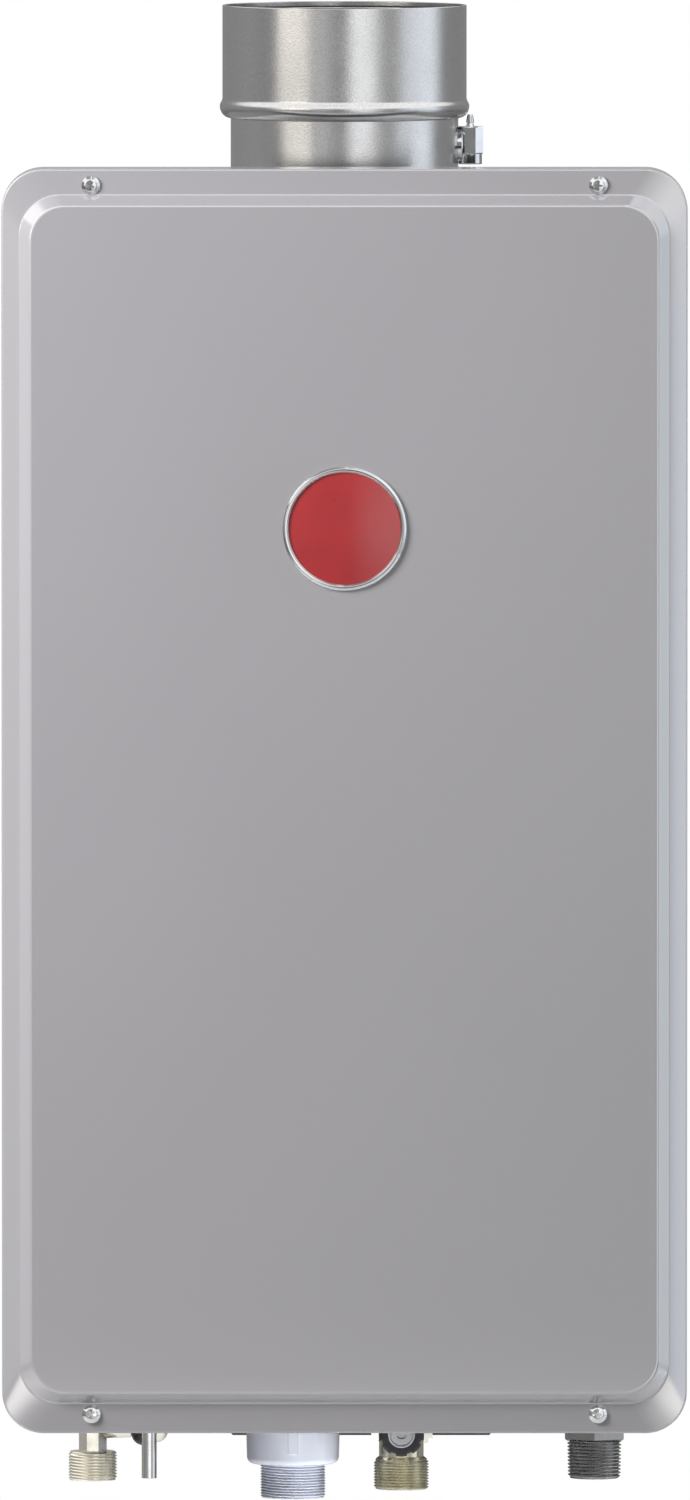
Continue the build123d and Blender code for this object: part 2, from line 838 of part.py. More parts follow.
# Strainer: a slotted basket behind the knob, across the inlet's bore
with BuildPart() as strainer:
    with BuildSketch(Plane.XZ.offset(strainer_face)):
        with Locations(filter_axis):
            Circle(strainer_radius)
    extrude(amount=-strainer_length)
    with BuildSketch(Plane.XZ.offset(strainer_face - strainer_length)):
        with Locations(filter_axis):
            Circle(strainer_radius - strainer_wall)
    extrude(amount=strainer_length - strainer_wall, mode=Mode.SUBTRACT)
    with BuildSketch(Plane.XZ.offset(strainer_face - strainer_rim)):
        with Locations(filter_axis):
            with PolarLocations(strainer_radius, strainer_slots):
                Rectangle(2 * strainer_radius / 3, strainer_slot_width)
    extrude(amount=-(strainer_length - 2 * strainer_rim), mode=Mode.SUBTRACT)
save(strainer, "strainer")

# Inlet clip: a white fork pushed round the cold neck from behind
with BuildPart() as inlet_clip:
    with BuildSketch(Plane.XY.offset(case_bottom - clip_drop)):
        with BuildLine():
            Polyline(
                (cold_place - clip_left, -fitting_depth - clip_front),
                (cold_place + clip_right, -fitting_depth - clip_front),
                (cold_place + clip_right, -fitting_depth + clip_back),
                (cold_place - clip_left, -fitting_depth + clip_back),
                close=True,
            )
        make_face()
        with Locations(cold_axis):
            Circle(cold_neck_radius + fit, mode=Mode.SUBTRACT)
            Rectangle(
                2 * (cold_neck_radius + fit),
                2 * clip_front,
                align=(Align.CENTER, Align.MAX),
                mode=Mode.SUBTRACT,
            )
    extrude(amount=-clip_height)
    fillet(inlet_clip.edges().filter_by(Axis.Z).group_by(Axis.Y)[-1], clip_round)
    with BuildSketch(Plane.XY.offset(case_bottom - clip_drop - clip_height)):
        for edge, step in ((-clip_left, clip_step_left), (clip_right, clip_step_right)):
            with Locations((cold_place + edge, -fitting_depth)):
                Rectangle(2 * step, 2 * (clip_front + clip_back))
    extrude(amount=clip_step_height, mode=Mode.SUBTRACT)
save(inlet_clip, "inlet_clip")

# Gas inlet: round neck, hexagon and threaded end
gas_axis = (gas_place, -fitting_depth)
gas_thread_top = case_bottom - gas_hex_drop - gas_hex_height
with BuildPart() as gas_inlet:
    with BuildSketch(Plane.XY.offset(gas_thread_top)):
        with Locations(gas_axis):
            Circle(gas_thread_radius)
    extrude(amount=-gas_thread_length)
    chamfer(gas_inlet.faces().sort_by(Axis.Z)[0].edges(), thread_chamfer)
    with BuildSketch(Plane.XY.offset(gas_thread_top)):
        with Locations(gas_axis):
            RegularPolygon(gas_hex_flats / 2, 6, major_radius=False, rotation=30)
    extrude(amount=gas_hex_height)
    with BuildSketch(Plane.XY.offset(gas_thread_top)):
        with Locations(gas_axis):
            Circle(gas_neck_radius)
    extrude(amount=gas_hex_height + gas_hex_drop + fitting_rise)
    with BuildSketch(Plane.XY.offset(case_bottom + fitting_rise)):
        with Locations(gas_axis):
            Circle(gas_bore)
    gas_run = fitting_rise + gas_hex_drop + gas_hex_height + gas_thread_length
    extrude(amount=-gas_run, mode=Mode.SUBTRACT)
save(gas_inlet, "gas_inlet")

# Holes in the case's bottom for what passes through it
with BuildPart() as finished_case:
    add(rear_case.part)
    with BuildSketch(Plane.XY.offset(case_bottom)):
        with Locations(hot_axis):
            Circle(hot_neck_flats / 2 / cos(radians(22.5)) + running)
        with Locations(tube_axis):
            Circle(tube_radius + running)
        with Locations(condensate_axis):
            Circle(condensate_nipple_radius + running)
        with Locations(cold_axis):
            Circle(cold_neck_radius + running)
        with Locations(gas_axis):
            Circle(gas_neck_radius + running)
    extrude(amount=2 * case_sheet, mode=Mode.SUBTRACT)


def case_panel(name, width, height, place, back, run):
    """Cut one welded panel out of the case: a window seen from the front, and its run towards the front."""
    with BuildPart() as panel:
        add(finished_case.part)
        with BuildSketch(Plane.XZ.offset(back)):
            with Locations(place):
                Rectangle(width, height)
        extrude(amount=run, mode=Mode.INTERSECT)
    save(panel, name)


# The case's panels: back, two sides, and a roof and a floor that keep the round corners
wall_back = case_standoff + case_sheet
wall_run = case_front - wall_back
side_height = case_height - 2 * case_corner_radius
end_height = (cover_height - side_height) / 2
side_middle = case_width / 2 - case_sheet + case_side_inset / 2
end_middle = (side_height + end_height) / 2
case_panel("case_back", cover_width, cover_height, (0, 0), case_standoff, case_sheet)
case_panel("case_left", case_side_inset, side_height, (-side_middle, 0), wall_back, wall_run)
case_panel("case_right", case_side_inset, side_height, (side_middle, 0), wall_back, wall_run)
case_panel("case_roof", cover_width, end_height, (0, end_middle), wall_back, wall_run)
case_panel("case_floor", cover_width, end_height, (0, -end_middle), wall_back, wall_run)

# Levels of the burner cell's storeys, and its front and back
cell_base = case_bottom + cell_floor_height
stack_height = burner_box_height + chamber_height + exchanger_height + hood_height + flue_room
stack_fit = (case_height - cell_floor_height) / stack_height
burner_top = cell_base + burner_box_height * stack_fit
chamber_top = burner_top + chamber_height * stack_fit
exchanger_top = chamber_top + exchanger_height * stack_fit
hood_top = exchanger_top + hood_height * stack_fit
cell_front = vent_depth + cell_deep / 2
cell_back = vent_depth - cell_deep / 2
nozzle_level = cell_base + manifold_level + manifold_size / 2
manifold_back = cell_front + manifold_gap
tube_level = (chamber_top + exchanger_top) / 2

# Exhaust pipe from the hood's neck up through the middle of the collar
pipe_top = case_top + collar_height - pipe_below_rim
with BuildPart() as exhaust_pipe:
    with BuildSketch(Plane.XY.offset(hood_top)):
        with Locations((0, -vent_depth)):
            Circle(pipe_radius)
            Circle(pipe_radius - pipe_wall, mode=Mode.SUBTRACT)
    extrude(amount=pipe_top - hood_top)
save(exhaust_pipe, "exhaust_pipe")


def hood_form(inset, rise):
    """Return the flue hood's outside or inside: a rectangle drawn in to a round neck."""
    with BuildPart() as form:
        with BuildSketch(Plane.XY.offset(exchanger_top)):
            with Locations((0, -vent_depth)):
                RectangleRounded(cell_width - 2 * inset, cell_deep - 2 * inset, hood_corner - inset)
        with BuildSketch(Plane.XY.offset(hood_top)):
            with Locations((0, -vent_depth)):
                Circle(pipe_radius + fit + cell_sheet - inset)
        loft()
        with BuildSketch(Plane.XY.offset(hood_top)):
            with Locations((0, -vent_depth)):
                Circle(pipe_radius + fit + cell_sheet - inset)
        extrude(amount=hood_neck_height + rise)
    return form.part


hood_outside = hood_form(0.0, 0.0)
hood_inside = hood_form(cell_sheet, 1.0)
with BuildPart() as flue_hood:
    add(hood_outside)
    add(hood_inside, mode=Mode.SUBTRACT)
save(flue_hood, "flue_hood")


def cell_frame(level, height, floor):
    """Return one storey of the cell: four walls, with a floor of the given thickness."""
    with BuildPart() as storey:
        with BuildSketch(Plane.XY.offset(level)):
            with Locations((0, -vent_depth)):
                Rectangle(cell_width, cell_deep)
        extrude(amount=height)
        with BuildSketch(Plane.XY.offset(level + floor)):
            with Locations((0, -vent_depth)):
                Rectangle(cell_width - 2 * cell_sheet, cell_deep - 2 * cell_sheet)
        extrude(amount=height, mode=Mode.SUBTRACT)
    return storey.part


# Heat exchanger: shell, fins and one tube that crosses three times
tube_rows = [-vent_depth - exchanger_tube_pitch, -vent_depth, -vent_depth + exchanger_tube_pitch]
exchanger_walls = cell_frame(chamber_top, exchanger_top - chamber_top, 0.0)
with BuildPart() as exchanger_shell:
    add(exchanger_walls)
    with BuildSketch(Plane.YZ.offset(-cell_width / 2)):
        with Locations(*[(row, tube_level) for row in tube_rows]):
            Circle(exchanger_tube_radius + fit)
    extrude(amount=cell_width, mode=Mode.SUBTRACT)
save(exchanger_shell, "exchanger_shell")

fin_pitch = (cell_width - 2 * fin_side_margin) / fin_count
fin_height = exchanger_top - chamber_top - 2 * fin_margin
with BuildPart() as exchanger_fins:
    for index in range(fin_count):
        with BuildSketch(Plane.YZ.offset((index - (fin_count - 1) / 2) * fin_pitch - fin_sheet / 2)):
            with Locations((-vent_depth, tube_level)):
                Rectangle(cell_deep - 2 * cell_sheet - 2 * fit, fin_height)
            with Locations(*[(row, tube_level) for row in tube_rows]):
                Circle(exchanger_tube_radius + fit, mode=Mode.SUBTRACT)
        extrude(amount=fin_sheet)
save(exchanger_fins, "exchanger_fins")


def pipe_run(points, bends, outside, inside):
    """Return a tube swept along straight runs joined by tangent bends."""
    with BuildPart() as run:
        with BuildLine() as route:
            FilletPolyline(*points, radius=bends)
        with BuildSketch(Plane(origin=route.line @ 0, z_dir=route.line % 0)):
            Circle(outside)
            Circle(inside, mode=Mode.SUBTRACT)
        sweep(path=route.line)
    return run


tube_end = cell_width / 2 + exchanger_end_reach
bend_end = cell_width / 2 + exchanger_bend_reach
tube_bend = exchanger_tube_pitch / 2 - fit
exchanger_tube = pipe_run(
    [
        (tube_end, tube_rows[0], tube_level),
        (-bend_end, tube_rows[0], tube_level),
        (-bend_end, tube_rows[1], tube_level),
        (bend_end, tube_rows[1], tube_level),
        (bend_end, tube_rows[2], tube_level),
        (-tube_end, tube_rows[2], tube_level),
    ],
    [tube_bend] * 4,
    exchanger_tube_radius,
    exchanger_tube_radius - exchanger_tube_wall,
)
save(exchanger_tube, "exchanger_tube")

# Combustion chamber with two holes for the electrodes
chamber_walls = cell_frame(burner_top, chamber_top - burner_top, 0.0)
electrode_base = burner_top + electrode_level
electrode_pair = [
    (electrode_place - electrode_pitch / 2, electrode_base),
    (electrode_place + electrode_pitch / 2, electrode_base),
]
with BuildPart() as combustion_chamber:
    add(chamber_walls)
    with BuildSketch(Plane.XZ.offset(cell_front)):
        with Locations(*electrode_pair):
            Circle(rod_radius + running)
    extrude(amount=-2 * cell_sheet, mode=Mode.SUBTRACT)
save(combustion_chamber, "combustion_chamber")

# Burner box: a tray fed with air from below and with gas through its front
duct_left = duct_inset - cell_width / 2
burner_pitch = (cell_width - 2 * burner_margin) / burner_count
burner_walls = cell_frame(cell_base, burner_top - cell_base, cell_sheet)
with BuildPart() as burner_box:
    add(burner_walls)
    with BuildSketch(Plane.XY.offset(cell_base)):
        with Locations((duct_left + scroll_duct_width / 2, -fan_back - fan_deep / 2)):
            Rectangle(scroll_duct_width - 2 * fan_wall, fan_deep - 2 * fan_wall)
    extrude(amount=2 * cell_sheet, mode=Mode.SUBTRACT)
    with BuildSketch(Plane.XZ.offset(cell_front)):
        with Locations((0, nozzle_level)):
            with GridLocations(burner_pitch, 0, burner_count, 1):
                Circle(nozzle_radius + running)
    extrude(amount=-2 * cell_sheet, mode=Mode.SUBTRACT)
save(burner_box, "burner_box")

# Burner bars: pressed blades with a narrow neck and slots along the top
burner_floor = cell_base + cell_sheet
with BuildSketch() as bar_outline:
    with BuildLine():
        half = Polyline(
            (0, 0),
            (burner_width / 2, 0),
            (burner_width / 2, burner_foot_top),
            (burner_neck / 2, burner_neck_low),
            (burner_neck / 2, burner_neck_high),
            (burner_width / 2, burner_head_low),
            (burner_width / 2, burner_height),
            (0, burner_height),
        )
        mirror(half, about=Plane.YZ)
    make_face()
with BuildPart() as burner_bars:
    with BuildSketch(Plane.XZ.offset(vent_depth - burner_length / 2)):
        with Locations((0, burner_floor)):
            with GridLocations(burner_pitch, 0, burner_count, 1):
                add(bar_outline.sketch)
    extrude(amount=burner_length)
    slot_pitch = burner_length / (burner_slots + 1)
    with BuildSketch(Plane.XY.offset(burner_floor + burner_height)):
        with Locations((0, -vent_depth)):
            with GridLocations(burner_pitch, slot_pitch, burner_count, burner_slots):
                Rectangle(burner_neck, burner_slot_width)
    extrude(amount=-burner_slot_depth, mode=Mode.SUBTRACT)
save(burner_bars, "burner_bars")

# Channel that holds the cell off the back of the case
case_inside_back = case_standoff + case_sheet
channel_deep = cell_back - case_inside_back
bracket_channel_width = cell_width - 2 * bracket_channel_margin
bracket_channel_level = cell_base + bracket_channel_rise
with BuildPart() as cell_bracket:
    with BuildSketch(Plane.XY.offset(bracket_channel_level)):
        with Locations((0, -case_inside_back - channel_deep / 2)):
            Rectangle(bracket_channel_width, channel_deep)
            Rectangle(
                bracket_channel_width - 2 * bracket_sheet,
                channel_deep - 2 * bracket_sheet,
                mode=Mode.SUBTRACT,
            )
    extrude(amount=bracket_channel_height)
save(cell_bracket, "cell_bracket")

# Gas manifold: a square bar with one nozzle for each burner and a lug at each end
manifold_length = cell_width - 2 * manifold_margin
with BuildPart() as gas_manifold:
    with BuildSketch(Plane.XY.offset(nozzle_level - manifold_size / 2)):
        with Locations((0, -manifold_back - manifold_size / 2)):
            Rectangle(manifold_length, manifold_size)
        with Locations((0, -cell_front)):
            with GridLocations(manifold_length + manifold_lug, 0, 2, 1):
                Rectangle(manifold_lug, manifold_gap + manifold_size, align=(Align.CENTER, Align.MAX))
    extrude(amount=manifold_size)
    with BuildSketch(Plane.XZ.offset(manifold_back)):
        with Locations((0, nozzle_level)):
            with GridLocations(burner_pitch, 0, burner_count, 1):
                Circle(nozzle_radius)
    extrude(amount=-manifold_gap)
save(gas_manifold, "gas_manifold")

# Gas valve on the inlet's neck, with two solenoids in front
valve_base = case_bottom + fitting_rise
gas_valve_front = fitting_depth + gas_valve_deep / 2
with BuildPart() as gas_valve:
    with BuildSketch(Plane.XY.offset(valve_base)):
        with Locations(gas_axis):
            RectangleRounded(gas_valve_width, gas_valve_deep, gas_valve_round)
    extrude(amount=gas_valve_height)
    chamfer(gas_valve.faces().sort_by(Axis.Z)[-1].edges(), gas_valve_round / 2)
save(gas_valve, "gas_valve")

with BuildPart() as gas_solenoids:
    with BuildSketch(Plane.XZ.offset(gas_valve_front)):
        with Locations((gas_place, valve_base + gas_valve_height / 2)):
            with GridLocations(0, solenoid_pitch, 1, 2):
                Circle(solenoid_radius)
    extrude(amount=solenoid_length)
    chamfer(gas_solenoids.faces().group_by(Axis.Y)[0].edges(), solenoid_chamfer)
save(gas_solenoids, "gas_solenoids")

gas_pipe_depth = manifold_back + manifold_size / 2
gas_pipe_level = case_bottom + gas_pipe_height
gas_pipe_top = nozzle_level - manifold_size / 2
gas_pipe = pipe_run(
    [
        (gas_place - gas_valve_width / 2, -fitting_depth, gas_pipe_level),
        (gas_pipe_place, -fitting_depth, gas_pipe_level),
        (gas_pipe_place, -gas_pipe_depth, gas_pipe_level),
        (gas_pipe_place, -gas_pipe_depth, gas_pipe_top),
    ],
    [gas_pipe_bend] * 2,
    gas_pipe_radius,
    gas_pipe_radius - gas_pipe_wall,
)
save(gas_pipe, "gas_pipe")

# Blower: volute housing, wheel with forward-swept blades and the motor in front
wheel_radius = wheel_plan * spread
scroll_radius = wheel_radius + scroll_gap
duct_radius = scroll_radius + 3 * scroll_growth
fan_inlet_radius = wheel_radius - fan_inlet_inset
motor_radius = wheel_radius - motor_inset
fan_place = duct_left + duct_radius
fan_level = cell_base - fan_drop
fan_front = fan_back + fan_deep


def volute(inset):
    """Return the volute's outline face: three growing quarter turns and an upright duct."""
    top = scroll_radius - inset
    right = top + scroll_growth
    bottom = right + scroll_growth
    left = bottom + scroll_growth
    duct = scroll_duct_width - 2 * inset
    fan_plane = Plane(origin=(fan_place, -fan_back - inset, fan_level), x_dir=(1, 0, 0), z_dir=(0, -1, 0))
    with BuildSketch(fan_plane) as outline:
        with BuildLine():
            EllipticalCenterArc((0, 0), right, top, 0, arc_size=90)
            EllipticalCenterArc((0, 0), right, bottom, 270, arc_size=90)
            EllipticalCenterArc((0, 0), left, bottom, 180, arc_size=90)
            Polyline((-left, 0), (-left, fan_drop), (duct - left, fan_drop), (duct - left, top), (0, top))
        make_face()
    return outline.sketch


with BuildPart() as fan_housing:
    extrude(volute(0.0), amount=fan_deep)
    extrude(volute(fan_wall), amount=fan_deep - 2 * fan_wall, mode=Mode.SUBTRACT)
    with BuildSketch(Plane.XZ.offset(fan_back)):
        with Locations((fan_place, fan_level)):
            Circle(fan_inlet_radius)
    extrude(amount=fan_wall, mode=Mode.SUBTRACT)
    with BuildSketch(Plane.XZ.offset(fan_front)):
        with Locations((fan_place, fan_level)):
            Circle(shaft_radius + running)
    extrude(amount=-fan_wall, mode=Mode.SUBTRACT)
save(fan_housing, "fan_housing")

wheel_back = fan_back + (fan_deep - wheel_depth) / 2
with BuildPart() as fan_wheel:
    with BuildSketch(Plane.XZ.offset(wheel_back + wheel_depth - wheel_plate)):
        with Locations((fan_place, fan_level)):
            Circle(wheel_radius)
    extrude(amount=wheel_plate)
    with BuildSketch(Plane.XZ.offset(wheel_back)):
        with Locations((fan_place, fan_level)):
            with PolarLocations(wheel_radius - blade_length / 2, wheel_blades):
                Rectangle(blade_length, blade_sheet, rotation=blade_sweep)
    extrude(amount=wheel_depth)
    with BuildSketch(Plane.XZ.offset(wheel_back + wheel_depth / 2)):
        with Locations((fan_place, fan_level)):
            Circle(wheel_hub_radius)
    extrude(amount=wheel_depth / 2)
    with BuildSketch(Plane.XZ.offset(wheel_back + wheel_depth / 2)):
        with Locations((fan_place, fan_level)):
            Circle(shaft_radius)
    extrude(amount=shaft_length)
save(fan_wheel, "fan_wheel")

shaft_end = wheel_back + wheel_depth / 2 + shaft_length
with BuildPart() as fan_motor:
    with BuildSketch(Plane.XZ.offset(fan_front)):
        with Locations((fan_place, fan_level)):
            Circle(motor_radius)
    extrude(amount=motor_length)
    fillet(fan_motor.faces().sort_by(Axis.Y)[0].edges(), motor_round)
    with BuildSketch(Plane.XZ.offset(fan_front)):
        with Locations((fan_place, fan_level)):
            Circle(shaft_radius + running)
    extrude(amount=shaft_end - fan_front + running, mode=Mode.SUBTRACT)
save(fan_motor, "fan_motor")

# Ignition: module on the right wall, electrodes in the chamber's front and the lead between them
igniter_right = case_inside_width / 2
igniter_level = cell_base + igniter_rise
with BuildPart() as igniter_module:
    with BuildSketch(Plane.XY.offset(igniter_level)):
        with Locations((igniter_right - igniter_width / 2, -igniter_depth - igniter_deep / 2)):
            Rectangle(igniter_width, igniter_deep)
    extrude(amount=igniter_height)
    fillet(igniter_module.edges().filter_by(Axis.Z).group_by(Axis.X)[0], igniter_round)
save(igniter_module, "igniter_module")

with BuildPart() as spark_electrodes:
    with BuildSketch(Plane.XZ.offset(cell_front)):
        with Locations((electrode_place, electrode_base)):
            RectangleRounded(electrode_plate_width, electrode_plate_height, ceramic_radius)
    extrude(amount=cell_sheet)
    with BuildSketch(Plane.XZ.offset(cell_front)):
        with Locations(*electrode_pair):
            Circle(ceramic_radius)
    extrude(amount=ceramic_length)
    with BuildSketch(Plane.XZ.offset(cell_front)):
        with Locations(*electrode_pair):
            Circle(rod_radius)
    extrude(amount=-rod_length)
save(spark_electrodes, "spark_electrodes")

lead_start = igniter_right - igniter_width / 2
lead_level = igniter_level + igniter_height / 2
ceramic_end = cell_front + ceramic_length
ignition_lead = pipe_run(
    [
        (lead_start, -igniter_depth - igniter_deep, lead_level),
        (lead_start, -lead_depth, lead_level),
        (electrode_pair[1][0], -lead_depth, electrode_base),
        (electrode_pair[1][0], -ceramic_end, electrode_base),
    ],
    [lead_bend] * 2,
    lead_radius,
    lead_radius / 2,
)
save(ignition_lead, "ignition_lead")

# Flow sensor: a tube with a spider at each end that carries the turbine's axle
sensor_base = case_bottom + fitting_rise
sensor_top = sensor_base + sensor_height
with BuildPart() as flow_sensor:
    with BuildSketch(Plane.XY.offset(sensor_base)):
        with Locations(cold_axis):
            Circle(sensor_radius)
            Circle(sensor_bore, mode=Mode.SUBTRACT)
    extrude(amount=sensor_height)
    for level in (sensor_base, sensor_top - spider_height):
        with BuildSketch(Plane.XY.offset(level)):
            with Locations(cold_axis):
                Rectangle(2 * sensor_bore + sensor_radius - sensor_bore, spider_width)
                Circle(turbine_axle_radius + running, mode=Mode.SUBTRACT)
        extrude(amount=spider_height)
save(flow_sensor, "flow_sensor")

with BuildPart() as flow_turbine:
    with BuildSketch(Plane.XY.offset(sensor_base + spider_height / 2)):
        with Locations(cold_axis):
            Circle(turbine_axle_radius)
    extrude(amount=sensor_height - spider_height)
    with BuildSketch(Plane.XY.offset(sensor_base + sensor_height / 2 - turbine_blade_height / 2)):
        with Locations(cold_axis):
            Circle(turbine_hub_radius)
            blade_reach = sensor_bore - 2 * running - turbine_hub_radius / 2
            with PolarLocations(turbine_hub_radius / 2 + blade_reach / 2, turbine_blades):
                Rectangle(blade_reach, turbine_blade_sheet)
    extrude(amount=turbine_blade_height)
save(flow_turbine, "flow_turbine")

# Water valve on the sensor, its motor in front, and the pipes to and from the heat exchanger
valve_top = sensor_top + valve_height
with BuildPart() as water_valve:
    with BuildSketch(Plane.XY.offset(sensor_top)):
        with Locations(cold_axis):
            RectangleRounded(valve_width, valve_width, valve_round)
    extrude(amount=valve_height)
    chamfer(water_valve.faces().sort_by(Axis.Z)[-1].edges(), valve_round / 2)
save(water_valve, "water_valve")

with BuildPart() as valve_motor:
    with BuildSketch(Plane.XZ.offset(fitting_depth + valve_width / 2)):
        with Locations((cold_place, sensor_top + valve_height / 2)):
            Circle(valve_motor_radius)
    extrude(amount=valve_motor_length)
    fillet(valve_motor.faces().sort_by(Axis.Y)[0].edges(), valve_motor_round)
save(valve_motor, "valve_motor")

cold_cross_level = valve_top + cold_cross_rise
riser_place = tube_end + riser_reach
cold_pipe = pipe_run(
    [
        (cold_place, -fitting_depth, valve_top),
        (cold_place, -fitting_depth, cold_cross_level),
        (riser_place, tube_rows[0], cold_cross_level),
        (riser_place, tube_rows[0], tube_level),
        (tube_end, tube_rows[0], tube_level),
    ],
    [water_pipe_bend] * 3,
    water_pipe_radius,
    water_pipe_radius - water_pipe_wall,
)
save(cold_pipe, "cold_pipe")

hot_step_top = case_bottom + hot_step_height
hot_pipe = pipe_run(
    [
        (-tube_end, tube_rows[2], tube_level),
        (-riser_place, tube_rows[2], tube_level),
        (-riser_place, tube_rows[2], hot_step_top),
        (hot_place, -fitting_depth, hot_step_top - hot_step_drop),
        (hot_place, -fitting_depth, case_bottom + fitting_rise),
    ],
    [water_pipe_bend] * 3,
    water_pipe_radius,
    water_pipe_radius - water_pipe_wall,
)
save(hot_pipe, "hot_pipe")

# Condensate hose from the exhaust pipe, down the left corner and across to the fitting
hose_start = -pipe_radius - fit
hose_end = case_bottom + condensate_nipple_rise
hose_place = hose_inset - case_inside_width / 2
hose_start_level = hood_top + hood_neck_height + hose_start_rise
hose_knee_level = hose_start_level - hose_knee_drop
hose_cross_level = case_bottom + hose_cross_height
condensate_hose = pipe_run(
    [
        (hose_start, -vent_depth, hose_start_level),
        (hose_place, -vent_depth, hose_start_level),
        (hose_place, -hose_depth, hose_knee_level),
        (hose_place, -hose_depth, hose_cross_level),
        (condensate_place, -hose_depth, hose_cross_level),
        (condensate_place, -fitting_depth, hose_cross_level),
        (condensate_place, -fitting_depth, hose_end),
    ],
    [hose_bend] * 5,
    hose_radius,
    hose_bore,
)
save(condensate_hose, "condensate_hose")

# Controller: an open tray on the case's floor with the circuit board standing in it
tray_floor = case_bottom + case_sheet
tray_back = case_front - tray_front_gap - tray_deep
tray_left = tray_inset - case_inside_width / 2
with BuildPart() as controller_tray:
    with BuildSketch(Plane.XZ.offset(tray_back)):
        with Locations((tray_left + tray_width / 2, tray_floor + tray_height / 2)):
            RectangleRounded(tray_width, tray_height, 2 * tray_wall)
    extrude(amount=tray_deep)
    with BuildSketch(Plane.XZ.offset(tray_back + tray_wall)):
        with Locations((tray_left + tray_width / 2, tray_floor + tray_height / 2)):
            RectangleRounded(tray_width - 2 * tray_wall, tray_height - 2 * tray_wall, tray_wall)
    extrude(amount=tray_deep, mode=Mode.SUBTRACT)
    with BuildSketch(Plane.XZ.offset(tray_back + tray_wall)):
        with Locations((tray_left + tray_width / 2, tray_floor + tray_height / 2)):
            with GridLocations(tray_width * post_spread[0], tray_height * post_spread[1], 2, 2):
                Circle(2 * tray_wall)
    extrude(amount=board_gap)
save(controller_tray, "controller_tray")

board_back = tray_back + tray_wall + board_gap
with BuildPart() as circuit_board:
    with BuildSketch(Plane.XZ.offset(board_back)):
        with Locations((tray_left + tray_width / 2, tray_floor + tray_height / 2)):
            Rectangle(
                tray_width - 2 * tray_wall - 2 * board_margin, tray_height - 2 * tray_wall - 2 * board_margin
            )
    extrude(amount=board_sheet)
    with BuildSketch(Plane.XZ.offset(board_back + board_sheet)):
        transformer_left = tray_left + tray_width * transformer_place[0]
        with Locations((transformer_left, tray_floor + tray_height * transformer_place[1])):
            Rectangle(tray_width * transformer_size[0], tray_height * transformer_size[1])
        with Locations((tray_left + tray_width * relay_place[0], tray_floor + tray_height * relay_place[1])):
            with GridLocations(tray_width * relay_pitch[0], tray_height * relay_pitch[1], 3, 2):
                Rectangle(tray_width * relay_size[0], tray_height * relay_size[1])
    extrude(amount=component_height)
save(circuit_board, "circuit_board")

# Thermistor clipped round the hot pipe
hot_rear_axis = (-riser_place, tube_rows[2])
thermistor_level = cell_base + thermistor_rise
with BuildPart() as thermistor:
    with BuildSketch(Plane.XY.offset(thermistor_level)):
        with Locations(hot_rear_axis):
            Circle(water_pipe_radius + fit + thermistor_wall)
        with Locations((-riser_place, tube_rows[2] - water_pipe_radius)):
            Rectangle(thermistor_body, thermistor_body, align=(Align.CENTER, Align.MAX))
        with Locations(hot_rear_axis):
            Circle(water_pipe_radius + fit, mode=Mode.SUBTRACT)
    extrude(amount=thermistor_height)
save(thermistor, "thermistor")
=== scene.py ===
"""Looks of a wall-hung tankless water heater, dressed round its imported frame.

Lengths are in metres. X runs to the right, the front faces -Y, Z is up and the wall is the plane Y = 0.
"""

import json
import logging
import math
from dataclasses import dataclass, field
from enum import Enum
from functools import cache
from typing import Iterable, Sequence

import bmesh
import bpy
from bmesh.types import BMVert
from bpy.types import ID, Material, Mesh, Node, NodeSocket, NodeTree, Object
from mathutils import Matrix, Vector


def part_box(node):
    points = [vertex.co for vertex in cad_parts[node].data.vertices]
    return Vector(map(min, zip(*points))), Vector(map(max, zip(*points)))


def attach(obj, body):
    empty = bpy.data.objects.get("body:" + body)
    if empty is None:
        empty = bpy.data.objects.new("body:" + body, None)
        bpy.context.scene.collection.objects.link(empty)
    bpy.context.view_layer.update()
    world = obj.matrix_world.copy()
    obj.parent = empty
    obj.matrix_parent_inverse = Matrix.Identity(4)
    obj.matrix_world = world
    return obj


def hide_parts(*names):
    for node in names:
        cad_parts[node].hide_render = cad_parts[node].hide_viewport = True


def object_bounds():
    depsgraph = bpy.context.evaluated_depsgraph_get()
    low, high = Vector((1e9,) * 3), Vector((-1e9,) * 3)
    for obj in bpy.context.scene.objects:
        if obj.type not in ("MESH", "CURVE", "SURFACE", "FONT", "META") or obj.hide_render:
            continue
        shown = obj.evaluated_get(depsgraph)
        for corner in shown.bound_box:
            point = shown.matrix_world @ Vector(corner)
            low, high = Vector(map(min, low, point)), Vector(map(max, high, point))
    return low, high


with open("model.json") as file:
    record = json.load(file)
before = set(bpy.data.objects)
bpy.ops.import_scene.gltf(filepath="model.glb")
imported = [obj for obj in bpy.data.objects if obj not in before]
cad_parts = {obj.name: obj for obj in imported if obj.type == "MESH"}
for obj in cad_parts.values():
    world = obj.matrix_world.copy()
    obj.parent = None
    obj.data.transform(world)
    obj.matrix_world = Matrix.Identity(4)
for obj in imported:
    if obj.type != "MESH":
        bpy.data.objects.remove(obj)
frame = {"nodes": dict(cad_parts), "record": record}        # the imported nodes, bodies, joints and record
CAD_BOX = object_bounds()

MM = 0.001
LOG = logging.getLogger("water_heater")
NODE_BODY: dict[str, str] = {
    node: body for body, nodes in frame["record"]["behaviour"]["bodies"].items() for node in nodes
}
NODE_SLOT: dict[str, str] = {row["node"]: row["material_slot"] for row in frame["record"]["subparts"]}
AXES: dict[str, Vector] = {mount["name"]: Vector(mount["pos_m"]) for mount in frame["record"]["mounts"]}
DRESSED: set[str] = set()        # the nodes that a piece stands in for already

